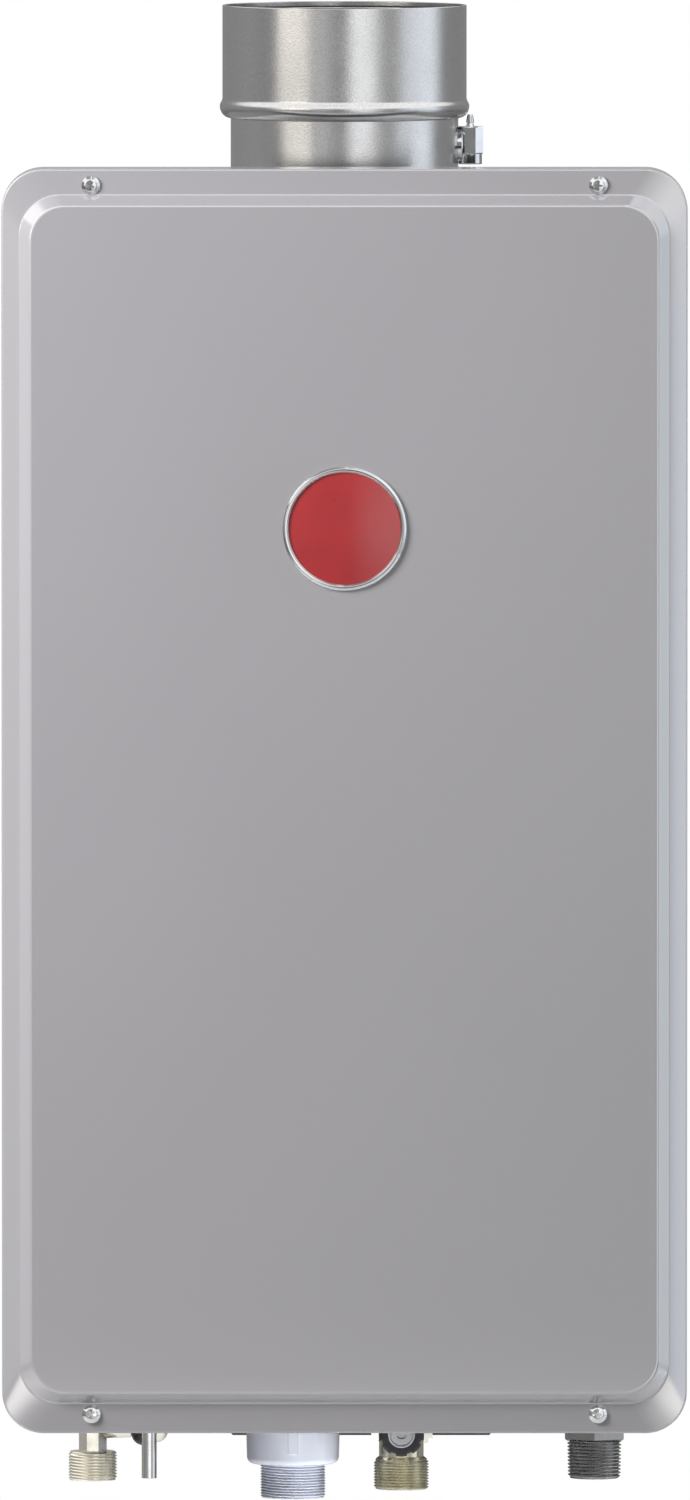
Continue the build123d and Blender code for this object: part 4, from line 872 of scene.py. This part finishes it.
@dataclass
class VentStack:
    """The vent collar with its bead, the exhaust pipe inside it and the test port beside it."""

    wall: float = 0.8 * MM
    lower_radius: float = 59.0 * MM
    upper_radius: float = 63.3 * MM
    bead_radius: float = 64.7 * MM
    bead_peak: float = 45.2 * MM
    bead_top: float = 49.5 * MM
    bead_under: float = 6.3 * MM
    bead_steps: int = 10
    pipe_radius: float = 39.5 * MM
    pipe_wall: float = 0.6 * MM
    port_flats: float = 13.6 * MM
    port_foot: float = 6.2 * MM
    port_foot_height: float = 5.5 * MM
    port_height: float = 19.6 * MM
    port_nipple: float = 2.1 * MM
    port_chamfer: float = 0.5 * MM
    saddle_radius: float = 8.9 * MM
    saddle_rise: float = 10.0 * MM
    saddle_proud: float = 2.2 * MM
    saddle_steps: int = 64
    seat_radius: float = 59.1 * MM

    def wall_line(self, inset: float) -> list[Point]:
        """Give one side of the collar's wall, from its foot to the top of its rolled bead.

        Args:
            inset: Distance inside the outer face.

        Returns:
            Points as (radius, height).
        """
        low, high, peak = self.lower_radius - inset, self.upper_radius - inset, self.bead_peak
        proud, lift = self.bead_radius - self.upper_radius, self.bead_top - peak
        shares = [step / self.bead_steps for step in range(self.bead_steps + 1)]
        line = [(low, 0.0), (low, peak - self.bead_under - 0.5 * MM)]
        for turn in (math.pi / 2 * (1 - share) for share in shares):
            radius = low + (high + proud - low) * math.cos(turn)
            line.append((radius, peak - self.bead_under * math.sin(turn)))
        for share in shares[1:]:
            line.append((high + proud * (1 + math.cos(math.pi * share)) / 2, peak + lift * share))
        return line

    def build_tubes(self) -> None:
        """Turn the collar, with its rolled bead and folded rim, and the exhaust pipe inside it."""
        place, height, _ = standing("vent_collar")
        inner = self.upper_radius - self.wall
        rim = [
            (self.upper_radius, height, 0.4 * MM), (inner - self.wall, height, 0.4 * MM),
            (inner - self.wall, height - 2.5 * MM, 0.3 * MM), (inner, height - 3.2 * MM),
        ]
        wall = self.wall_line(0.0) + rim + self.wall_line(self.wall)[::-1]
        Piece("collar_tube", "vent_collar").turned(wall, place, 180)
        place, height, _ = standing("exhaust_pipe")
        outer, inner = self.pipe_radius, self.pipe_radius - self.pipe_wall
        Piece("exhaust_tube", "exhaust_pipe").turned([
            (inner, 0.0), (outer, 0.0), (outer, height, 0.28 * MM), (inner, height, 0.28 * MM),
        ], place, 160, steps=4, closed=True)

    def build_saddle(self, form: Form, level: float) -> None:
        """Add the round pad that seats the port on the collar's side.

        Args:
            form: The port's form.
            level: Height of the pad's middle.
        """
        axis, edge = AXES["air_collar"], self.port_chamfer
        face = axis.x + self.lower_radius + self.saddle_proud
        rings = []
        for radius, across in ((self.saddle_radius, None), (self.saddle_radius, face - edge),
                               (self.saddle_radius - edge, face)):
            spots = []
            for turn in (math.tau * step / self.saddle_steps for step in range(self.saddle_steps)):
                side = radius * math.cos(turn)
                seat = axis.x + math.sqrt(self.seat_radius ** 2 - side ** 2)
                spots.append((across or seat, axis.y + side, level + radius * math.sin(turn)))
            rings.append(form.ring(spots))
        form.bridge(rings, caps=(0, -1))

    def build_port(self) -> None:
        """Build the test port on the collar's side: foot, octagon, hose nipple and seating pad."""
        low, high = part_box("test_port")
        axis = AXES["air_collar"]
        place = Facing.UP.place(high.x - self.port_flats / 2, (low.y + high.y) / 2, low.z)
        height, corner, cut = high.z - low.z, corner_radius(self.port_flats, 8), self.port_chamfer
        base, top, barb = self.port_foot_height, self.port_height, self.port_nipple
        form = Form().turn([
            (0.0, 0.0), (self.port_foot, 0.0, 0.6 * MM), (self.port_foot, base), (0.0, base),
        ], place, 48, steps=4).turn([
            (0.0, base), (corner - cut, base), (corner, base + cut), (corner, top - cut), (corner - cut, top),
            (0.0, top),
        ], place, 8, flat=True).turn([
            (0.0, top), (barb, top), (0.8 * barb, top + 1.5 * MM), (barb, top + 2.4 * MM, 0.3 * MM),
            (0.72 * barb, height - 0.5 * MM, 0.4 * MM), (0.6 * barb, height), (0.0, height),
        ], place, 32, steps=3)
        for vert in form.work.verts:
            spoke = (vert.co - axis).to_2d()
            if spoke.length < self.seat_radius:
                vert.co.xy = axis.to_2d() + spoke.normalized() * self.seat_radius
        self.build_saddle(form, low.z + self.saddle_rise)
        Piece("test_port_body", "test_port").shape(form)

    def build(self) -> None:
        """Build the collar, the pipe and the port."""
        self.build_tubes()
        self.build_port()


@dataclass(frozen=True)
class ThreadSpec:
    """Sizes of one threaded end, which hangs down from the top of its thread."""

    radius: float
    bore: float
    length: float
    turns: float
    depth: float
    taper: float = 0.0
    sides: int = 97
    rows: int = 10

    def grow(self, form: Form, node: str, top: Vector) -> None:
        """Add the threaded sleeve to a form.

        Args:
            form: The fitting's form.
            node: The fitting's node.
            top: Where the thread starts, on its axis.
        """
        form.work.from_mesh(thread_growth().grow(
            NODE_SLOT[node], Major_Radius=self.radius, Bore_Radius=self.bore, Length=self.length,
            Turns=self.turns, Depth=self.depth, Taper=self.taper, Sides=self.sides,
            Rows_Each_Turn=self.rows, Origin=tuple(top),
        ))


@dataclass
class HotOutlet:
    """The hot outlet: octagonal neck, threaded end and drain plug, with the relief tube beside it."""

    neck_flats: float = 14.4 * MM
    neck_chamfer: float = 0.5 * MM
    thread: ThreadSpec = ThreadSpec(12.6 * MM, 7.2 * MM, 14.9 * MM, 9.5, 0.9 * MM)
    drain_level: float = -332.0 * MM
    branch_root: float = 6.6 * MM
    branch_tip: float = 5.8 * MM
    knob_bore: float = 3.3 * MM
    stem_radius: float = 3.0 * MM
    relief_wall: float = 0.8 * MM

    def build(self) -> None:
        """Build the outlet, the drain plug and the relief tube."""
        low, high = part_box("hot_outlet")
        axis = AXES["hot_outlet"]
        neck_low = low.z + self.thread.length
        corner, cut, reach = corner_radius(self.neck_flats, 8), self.neck_chamfer, high.x - axis.x
        form = Form().turn([
            (0.0, neck_low - cut), (corner - cut, neck_low - cut), (corner, neck_low), (corner, high.z),
            (0.0, high.z),
        ], Facing.UP.place(axis.x, axis.y, 0), 8, flat=True).turn([
            (0.0, 0.0), (self.branch_root, 0.0), (self.branch_tip, reach, 0.5 * MM), (0.0, reach),
        ], Facing.RIGHT.place(axis.x, axis.y, self.drain_level), 48)
        self.thread.grow(form, "hot_outlet", Vector((axis.x, axis.y, neck_low)))
        Piece("hot_outlet_body", "hot_outlet", crease=38, bevel=0.15 * MM).shape(form)
        self.build_drain()
        self.build_relief()

    def build_drain(self) -> None:
        """Turn the black drain knob and the brass end beyond it."""
        place, length, radius = pointing("drain_knob")
        bore, stem = self.knob_bore, self.stem_radius
        Piece("drain_grip", "drain_knob").turned([
            (bore, 0.0), (radius, 0.0, 6.0 * MM), (radius, 0.7 * length), (radius, length, 1.5 * MM),
            (bore, length),
        ], place, 72, steps=10)
        knob_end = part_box("drain_knob")[0].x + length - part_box("drain_stem")[0].x
        place, run, radius = pointing("drain_stem")
        Piece("drain_end", "drain_stem").turned([
            (0.0, 0.0), (stem, 0.0, 0.5 * MM), (stem, knob_end), (radius, knob_end, 0.6 * MM),
            (radius, knob_end + 1.5 * MM), (radius, run, 6.0 * MM), (0.12 * radius, run), (0.0, run),
        ], place, 72, steps=10)

    def build_relief(self) -> None:
        """Turn the plain steel tube beside the outlet, with a rounded mouth."""
        place, height, radius = standing("relief_tube")
        inner, lip = radius - self.relief_wall, 0.3 * MM
        Piece("relief_pipe", "relief_tube").turned([
            (inner, 0.0, lip), (radius, 0.0, lip), (radius, height), (inner, height),
        ], place, 64, closed=True)


@dataclass
class CondensateFitting:
    """The white drain fitting: round body, a rib on its front, threaded end and hose nipple."""

    radius: float = 24.2 * MM
    base_round: float = 3.4 * MM
    body_height: float = 42.2 * MM
    lip: float = 1.0 * MM
    nipple_radius: float = 8.0 * MM
    nipple_rise: float = 14.0 * MM
    thread: ThreadSpec = ThreadSpec(16.9 * MM, 9.0 * MM, 17.8 * MM, 12.5, 0.9 * MM)
    rib_width: float = 5.2 * MM
    rib_round: float = 0.8 * MM
    rib_height: float = 20.0 * MM
    rib_drop: float = 16.0 * MM
    rib_proud: float = 1.1 * MM

    def build_rib(self, form: Form, place: Matrix) -> None:
        """Add the upright rib on the body's front.

        Args:
            form: The fitting's form.
            place: Carries the rib from the origin to its place.
        """
        across, up, proud = self.rib_width / 2, self.rib_height / 2, self.rib_proud
        outline = rounded_ring(across, up, self.rib_round, 5)
        rings = []
        for inset, level in ((0.0, 3.0), (0.0, -0.5), (0.18 * MM, -0.85), (0.4 * MM, -1.0)):
            wide, high = 1 - inset / across, 1 - inset / up
            rings.append(form.ring(((x * wide, level * proud, z * high) for x, z in outline), place))
        form.bridge(rings, caps=(0, -1))

    def build(self) -> None:
        """Build the fitting with its thread and rib."""
        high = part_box("condensate_fitting")[1].z
        axis = AXES["condensate_drain"]
        top = high - self.nipple_rise
        floor = top - self.body_height
        wide, lip, tube, bore = self.radius, self.lip, self.nipple_radius, 0.75 * self.nipple_radius
        form = Form().turn([
            (0.0, floor), (wide - 0.4 * MM, floor, self.base_round), (wide, floor + 14 * MM, 20 * MM),
            (wide, top - 3 * lip, 0.4 * MM), (wide - lip, top - 2 * lip, 0.4 * MM), (wide - lip, top),
            (tube, top), (tube, high, 0.6 * MM), (bore, high), (bore, top), (0.0, top),
        ], Facing.UP.place(axis.x, axis.y, 0), 128, steps=8)
        self.thread.grow(form, "condensate_fitting", Vector((axis.x, axis.y, floor)))
        middle = (axis.x, axis.y - wide + 0.1 * MM, top - self.rib_drop - self.rib_height / 2)
        self.build_rib(form, Matrix.Translation(middle))
        Piece("condensate_body", "condensate_fitting", crease=42).shape(form)


@dataclass
class ColdInlet:
    """The cold inlet: round neck, shoulder, threaded end, and the filter knob that faces the front."""

    neck_radius: float = 11.6 * MM
    shoulder_height: float = 2.0 * MM
    thread: ThreadSpec = ThreadSpec(14.3 * MM, 9.0 * MM, 14.9 * MM, 10.0, 1.0 * MM)
    filter_level: float = -333.0 * MM
    boss_radius: float = 10.0 * MM
    knob_gap: float = 0.3 * MM
    notches: int = 8
    notch_width: float = 2.8 * MM
    notch_depth: float = 1.0 * MM
    insert_seat: float = 7.2 * MM
    insert_depth: float = 1.6 * MM
    insert_dip: float = 0.6 * MM
    shank_radius: float = 7.7 * MM
    steps: int = 360

    def build_body(self) -> None:
        """Build the inlet with its thread and the boss behind the knob."""
        low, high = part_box("cold_inlet")
        axis = AXES["cold_inlet"]
        top = low.z + self.thread.length
        neck, boss, reach = self.neck_radius, self.boss_radius, axis.y - low.y
        form = Form().turn([
            (0.0, top), (self.thread.radius - 0.2 * MM, top, 0.4 * MM),
            (neck, top + self.shoulder_height, 0.6 * MM), (neck, high.z), (0.0, high.z),
        ], Facing.UP.place(axis.x, axis.y, 0)).turn([
            (0.0, 0.0), (boss, 0.0), (boss, reach, 0.8 * MM), (0.0, reach),
        ], Facing.FRONT.place(axis.x, axis.y, self.filter_level), 72)
        self.thread.grow(form, "cold_inlet", Vector((axis.x, axis.y, top)))
        Piece("cold_inlet_body", "cold_inlet", crease=38).shape(form)

    def rim(self, radius: float, turn: float) -> float:
        """Give the notched rim's radius at an angle, with notches half a pitch off the level.

        Args:
            radius: The rim's radius between the notches.
            turn: The angle.

        Returns:
            The radius there.
        """
        pitch = math.tau / self.notches
        across = radius * math.sin(turn % pitch - pitch / 2)
        return radius if abs(across) >= self.notch_width / 2 else radius - self.notch_depth

    def build_knob(self) -> None:
        """Build the notched black knob."""
        low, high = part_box("filter_knob")
        radius, seat, lip = (high.x - low.x) / 2, self.insert_seat, 0.3 * MM
        back = -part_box("cold_inlet")[0].y + self.knob_gap
        length, shank = -low.y - back, -back - high.y
        place = Facing.FRONT.place(AXES["cold_inlet"].x, -back, self.filter_level)
        turns = [math.tau * step / self.steps for step in range(self.steps)]
        rows = [([self.rim(radius, turn) - inset for turn in turns], level) for inset, level in rounded([
            (0.6 * MM, 0.0), (0.0, 0.6 * MM, 0.4 * MM), (0.0, length - 1.5 * MM, 1.5 * MM),
            (1.5 * MM, length, 1.2 * MM), (2.4 * MM, length),
        ], steps=5)]
        for reach, level in ((seat + lip, length), (seat, length - lip), (seat, length - self.insert_depth)):
            rows.append(([reach] * self.steps, level))
        form = Form()
        form.bridge([
            form.ring(((reach * math.cos(turn), reach * math.sin(turn), level)
                       for reach, turn in zip(reaches, turns)), place)
            for reaches, level in rows
        ], caps=(0, -1))
        form.turn([(0.0, 0.0), (self.shank_radius, 0.0), (self.shank_radius, shank), (0.0, shank)], place, 48)
        Piece("filter_grip", "filter_knob", crease=38).shape(form)

    def build_insert(self) -> None:
        """Turn the grey insert in the knob's face."""
        low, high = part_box("filter_insert")
        size, top = (high.x - low.x) / 2, high.y - low.y
        dip, soft = top - self.insert_dip, 0.2 * MM
        Piece("filter_face", "filter_insert").turned([
            (0.0, 0.0), (size, 0.0), (size, top, 0.4 * MM), (0.86 * size, top, 0.3 * MM),
            (0.80 * size, dip, soft), (0.74 * size, dip, soft), (0.70 * size, top, soft),
            (0.34 * size, top, soft), (0.30 * size, dip, soft), (0.0, dip),
        ], Facing.FRONT.place(AXES["cold_inlet"].x, high.y, self.filter_level), 96, steps=3)

    def build(self) -> None:
        """Build the inlet, its knob and the knob's insert."""
        self.build_body()
        self.build_knob()
        self.build_insert()


@dataclass
class GasInlet:
    """The gas inlet: round neck, hexagon and threaded end."""

    neck_radius: float = 12.0 * MM
    hex_flats: float = 30.5 * MM
    hex_height: float = 11.0 * MM
    hex_chamfer: Point = (1.3 * MM, 0.8 * MM)
    thread: ThreadSpec = ThreadSpec(14.15 * MM, 10.0 * MM, 19.9 * MM, 11.0, 1.25 * MM, 0.4 * MM)

    def build(self) -> None:
        """Build the inlet with its thread."""
        low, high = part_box("gas_inlet")
        axis = AXES["gas_inlet"]
        base = low.z + self.thread.length
        top, corner, neck = base + self.hex_height, corner_radius(self.hex_flats, 6), self.neck_radius
        cut, fall = self.hex_chamfer
        place = Facing.UP.place(axis.x, axis.y, 0)
        form = Form().turn([
            (0.0, base), (corner - cut, base), (corner, base + fall), (corner, top - fall),
            (corner - cut, top), (0.0, top),
        ], place, 6, flat=True).turn([(0.0, top), (neck, top), (neck, high.z), (0.0, high.z)], place, 72)
        self.thread.grow(form, "gas_inlet", Vector((axis.x, axis.y, base)))
        Piece("gas_inlet_body", "gas_inlet", crease=38, bevel=0.25 * MM).shape(form)


@dataclass
class CarriedPieces:
    """Every other node, carried over from the frame with smooth round faces and a finish."""

    bevels: dict[str, float] = field(default_factory=lambda: {
        "upper_bracket": 0.3 * MM, "lower_bracket": 0.3 * MM, "inlet_clip": 0.4 * MM,
        "collar_plate": 0.25 * MM, "gas_valve": 0.6 * MM, "water_valve": 0.6 * MM,
        "igniter_module": 0.6 * MM, "gas_manifold": 0.6 * MM,
    })
    longer: dict[str, float] = field(default_factory=lambda: {"lower_bracket": 1.0 * MM})
    foot: float = 1.0 * MM

    def build(self) -> None:
        """Copy each node that no other class has rebuilt."""
        for node in sorted(set(frame["nodes"]) - DRESSED):
            form = Form()
            work = form.work
            work.from_mesh(frame["nodes"][node].data)
            bmesh.ops.remove_doubles(work, verts=work.verts, dist=WELD)
            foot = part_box(node)[0].z + self.foot
            for vert in work.verts:
                if vert.co.z < foot:
                    vert.co.z -= self.longer.get(node, 0.0)
            bevel = self.bevels.get(node, 0.0)
            if bevel:
                bmesh.ops.dissolve_limit(work, angle_limit=LEVEL, verts=work.verts, edges=work.edges)
            Piece(f"{node}_form", node, crease=32, bevel=bevel).shape(form)


def stand(obj: Object, place: Sequence[float], target: Sequence[float], front: str = "-Z") -> None:
    """Put a light, a card or the camera in its place, facing its target.

    Args:
        obj: The object.
        place: Where it stands.
        target: What it faces.
        front: The object's own axis that faces the target.
    """
    obj.location = place
    obj.rotation_euler = (Vector(target) - Vector(place)).to_track_quat(front, "Y").to_euler()
    LOG.info("studio: %s", obj.name)


@dataclass(frozen=True)
class SoftLight:
    """One rectangular studio light, which metal doesn't mirror."""

    name: str
    place: Spot
    target: Spot
    width: float
    height: float
    power: float
    colour: Colour = grey(1.0)
    spread: float = 180.0

    def build(self) -> None:
        """Hang the light and aim it."""
        lamp = bpy.data.lights.new(self.name, "AREA")
        lamp.shape = "RECTANGLE"
        lamp.size, lamp.size_y = self.width, self.height
        lamp.energy, lamp.color = self.power, self.colour
        lamp.spread = math.radians(self.spread)
        obj = new_object(self.name, lamp)
        obj.visible_camera = obj.visible_glossy = False
        stand(obj, self.place, self.target)


@dataclass(frozen=True)
class LightCard:
    """A bright card with soft edges that only metal and lacquer mirror."""

    name: str
    place: Spot
    target: Spot
    width: float
    height: float
    colour: Colour
    soft: float

    def fade(self, shader: Shader) -> NodeSocket:
        """Give the card's presence: 1 in its middle, falling to 0 along its edges.

        Args:
            shader: The card's material.

        Returns:
            The socket of that value.
        """
        tree = shader.tree
        spot = shader.add("ShaderNodeSeparateXYZ", shader.place).outputs
        shares = []
        for axis, half in (("X", self.width / 2), ("Y", self.height / 2)):
            room = math_node(tree, "SUBTRACT", half, math_node(tree, "ABSOLUTE", spot[axis]))
            shares.append(math_node(tree, "MINIMUM", math_node(tree, "DIVIDE", room, self.soft), 1.0))
        return math_node(tree, "MULTIPLY", *shares)

    def build(self) -> None:
        """Stand the card in its place, facing its target."""
        shader = Shader(self.name)
        clear = shader.add("ShaderNodeBsdfTransparent").outputs[0]
        glow = shader.add("ShaderNodeEmission", Color=self.colour).outputs[0]
        shader.show(shader.add("ShaderNodeMixShader", self.fade(shader), clear, glow).outputs[0])
        card = flat_sheet(self.name, self.width, self.height, shader.material)
        card.visible_camera = card.visible_diffuse = card.visible_transmission = card.visible_shadow = False
        stand(card, self.place, self.target, "Z")


def flat_sheet(name: str, width: float, height: float, material: Material, level: float = 0.0) -> Object:
    """Make a rectangle that faces up.

    Args:
        name: The object's name.
        width: Its size along X.
        height: Its size along Y.
        material: What it is made of.
        level: How high it lies.

    Returns:
        The object, at the origin.
    """
    across, up = width / 2, height / 2
    corners = [(-across, -up, level), (across, -up, level), (across, up, level), (-across, up, level)]
    mesh = bpy.data.meshes.new(name)
    mesh.from_pydata(corners, [], [(0, 1, 2, 3)])
    mesh.materials.append(material)
    return new_object(name, mesh)


@dataclass(frozen=True)
class Surround:
    """What metal mirrors of the studio: bands by compass angle, a roof light and a dark floor."""

    bands: tuple[tuple[float, Colour], ...] = (
        (-180, grey(0.4)), (-168, grey(0.28)), (-102, grey(0.38)), (-76, grey(0.32)), (-34, grey(0.42)),
        (-22, grey(0.72)), (-10, grey(0.42)), (1, grey(0.24)), (7, grey(1.4)), (26, grey(1.25)),
        (36, grey(0.46)), (50, grey(0.46)), (60, grey(0.98, -0.03)), (92, grey(1.28, -0.06)),
        (106, grey(0.32)), (168, grey(0.28)), (180, grey(0.4)),
    )
    roof: tuple[Point, ...] = ((0.0, 0.0), (0.34, 0.0), (0.42, 1.0), (0.76, 1.0), (0.86, 0.06), (1.0, 0.06))
    roof_level: float = 1.35
    fall: tuple[Point, ...] = ((-1.0, 0.3), (-0.55, 0.35), (-0.2, 0.7), (-0.08, 1.0), (1.0, 1.0))

    def ramp(self, tree: NodeTree, share: NodeSocket, stops: Iterable[tuple[float, Colour]]) -> NodeSocket:
        """Add a colour ramp.

        Args:
            tree: The world's tree.
            share: Where on the ramp, from 0 to 1.
            stops: Places and their linear colours, in order.

        Returns:
            The colour's socket.
        """
        node = add_node(tree, "ShaderNodeValToRGB", share)
        points = node.color_ramp.elements
        points.remove(points[0])
        for index, (place, colour) in enumerate(stops):
            point = points[0] if index == 0 else points.new(place)
            point.position = place
            point.color = (*colour, 1.0)
        return node.outputs[0]

    def mirrored(self, tree: NodeTree, way: Sequence[NodeSocket]) -> NodeSocket:
        """Build the colour that a mirror sees in each direction.

        Args:
            tree: The world's tree.
            way: The direction's X, Y and Z.

        Returns:
            The colour's socket.
        """
        angle = math_node(tree, "ARCTAN2", way[0], math_node(tree, "MULTIPLY", way[1], -1.0))
        compass = math_node(tree, "MULTIPLY_ADD", angle, 1 / math.tau, 0.5)
        height = math_node(tree, "MULTIPLY_ADD", way[2], 0.5, 0.5)
        bands = self.ramp(tree, compass, [((angle + 180) / 360, colour) for angle, colour in self.bands])
        dimming, roof = (
            self.ramp(tree, height, [((rise + 1) / 2, grey(level)) for rise, level in levels])
            for levels in (self.fall, self.roof)
        )
        walls = mix_node(tree, 1.0, bands, dimming, "MULTIPLY")
        return mix_node(tree, roof, walls, grey(self.roof_level))


@dataclass
class Studio:
    """A pale floor, a world white to the camera, soft lights and cards, and the photograph's camera."""

    floor_drop: float = 0.45
    floor_span: float = 60.0
    floor_roughness: float = 0.9
    floor_greys: Point = (0.8, 0.15)
    shade_span: Point = (0.7, 2.2)
    flange_y: float = -0.229
    camera_distance: float = 14.4
    camera_side: float = 0.25 * MM
    camera_height: float = 0.875
    camera_reach: float = 200.0
    look_height: float = 0.0269
    seen_height: float = 0.772
    sensor: float = 36.0
    ambient: Point = (0.06, 0.75)
    ambient_span: Point = (0.1, 0.7)
    surround: Surround = Surround()
    lights: tuple[SoftLight, ...] = (
        SoftLight("key_left", (-1.45, -1.25, 0.95), (0.0, -0.235, 0.0), 0.8, 1.0, 64.0, (1.0, 0.975, 0.97)),
        SoftLight("rim_right", (1.9, -0.30, 0.1), (0.0, -0.2, 0.0), 0.3, 1.6, 30.0, (0.92, 0.965, 1.0)),
        SoftLight("low_front", (0.0, -0.5, -0.75), (0.0, -0.13, -0.345), 0.04, 0.04, 0.046, spread=18.0),
    )
    cards: tuple[LightCard, ...] = (
        LightCard("card_left", (-1.51, -1.41, 0.9), (0.0, -0.1, 0.9), 1.3, 1.45, grey(1.6, 0.05), 0.15),
        LightCard(
            "card_right", (0.48, -1.39, -0.18), (0.17, -0.23, -0.18), 0.33, 0.95, grey(1.25, -0.06), 0.1
        ),
        LightCard("card_low", (0.0, -1.39, -0.475), (0.0, -0.1, -0.475), 0.8, 0.12, grey(2.2, 0.02), 0.03),
    )

    def build_world(self) -> None:
        """Make the world white to the camera, a soft grey light, and banded where metal mirrors it."""
        world = bpy.data.worlds.new("studio")
        world.use_nodes = True
        tree = world.node_tree
        tree.nodes.clear()
        path = add_node(tree, "ShaderNodeLightPath").outputs
        seen = math_node(tree, "MAXIMUM", path["Is Camera Ray"], path["Is Transmission Ray"])
        around = add_node(tree, "ShaderNodeTexCoord").outputs["Generated"]
        way = add_node(tree, "ShaderNodeSeparateXYZ", around).outputs
        start, end = self.ambient_span
        behind = add_node(tree, "ShaderNodeMapRange", Value=way["Y"], From_Min=start, From_Max=end).outputs[0]
        soft = mix_node(tree, behind, *(grey(level) for level in self.ambient))
        light = mix_node(tree, path["Is Glossy Ray"], soft, self.surround.mirrored(tree, way))
        back = add_node(tree, "ShaderNodeBackground", Color=mix_node(tree, seen, light, grey(1.0)))
        add_node(tree, "ShaderNodeOutputWorld", Surface=back.outputs[0])
        bpy.context.scene.world = world

    def build_floor(self) -> None:
        """Lay the pale floor: white from afar, plain and shaded below the heater, seen only from above."""
        shader = Shader("pale_floor")
        tree = shader.tree
        path = shader.add("ShaderNodeLightPath").outputs
        bounced = mix_node(tree, path["Is Diffuse Ray"], *(grey(level) for level in self.floor_greys))
        shader.set(Roughness=self.floor_roughness, Base_Color=bounced)
        seen = math_node(tree, "MAXIMUM", path["Is Camera Ray"], path["Is Transmission Ray"])
        spot = shader.add("ShaderNodeSeparateXYZ", shader.place).outputs
        behind = math_node(tree, "POWER", math_node(tree, "ADD", spot["Y"], -self.flange_y), 2.0)
        squares = math_node(tree, "MULTIPLY_ADD", spot["X"], spot["X"], behind)
        away = shader.spread(math_node(tree, "SQRT", squares), 0.0, 1.0, *self.shade_span)
        glow, clear = (shader.add(f"ShaderNode{kind}").outputs[0] for kind in ("Emission", "BsdfTransparent"))
        white = math_node(tree, "MULTIPLY", seen, away)
        top = shader.add("ShaderNodeMixShader", white, shader.bsdf.outputs[0], glow).outputs[0]
        under = shader.add("ShaderNodeNewGeometry").outputs["Backfacing"]
        hidden = math_node(tree, "MAXIMUM", under, math_node(tree, "MULTIPLY", path["Is Glossy Ray"], away))
        shader.show(shader.add("ShaderNodeMixShader", hidden, top, clear).outputs[0])
        level = CAD_BOX[0][2] - self.floor_drop
        flat_sheet("floor", self.floor_span, self.floor_span, shader.material, level)

    def build_camera(self) -> None:
        """Put the camera where the photograph was taken from."""
        camera = bpy.data.cameras.new("camera")
        camera.sensor_width = self.sensor
        camera.clip_end = self.camera_reach
        place = Vector((self.camera_side, self.flange_y - self.camera_distance, self.camera_height))
        target = Vector((self.camera_side, self.flange_y, self.look_height))
        camera.lens = self.sensor * (target - place).length / self.seen_height
        camera.dof.use_dof = False
        obj = new_object("camera", camera)
        bpy.context.scene.camera = obj
        stand(obj, place, target)

    def build(self) -> None:
        """Set up the world, the floor, the lights, the cards and the camera."""
        self.build_world()
        self.build_floor()
        for light in (*self.lights, *self.cards):
            light.build()
        self.build_camera()
        bpy.context.scene.view_settings.view_transform = "Standard"


def main() -> None:
    """Dress every piece of the heater and set up the studio."""
    logging.basicConfig(level=logging.INFO, format="%(name)s: %(message)s")
    for name in ("Cube", "Light", "Camera"):
        if name in bpy.data.objects:
            bpy.data.objects.remove(bpy.data.objects[name])
    makers = FrontCover, VentStack, HotOutlet, CondensateFitting, ColdInlet, GasInlet, CarriedPieces, Studio
    for maker in makers:
        maker().build()


if __name__ == "__main__":
    main()
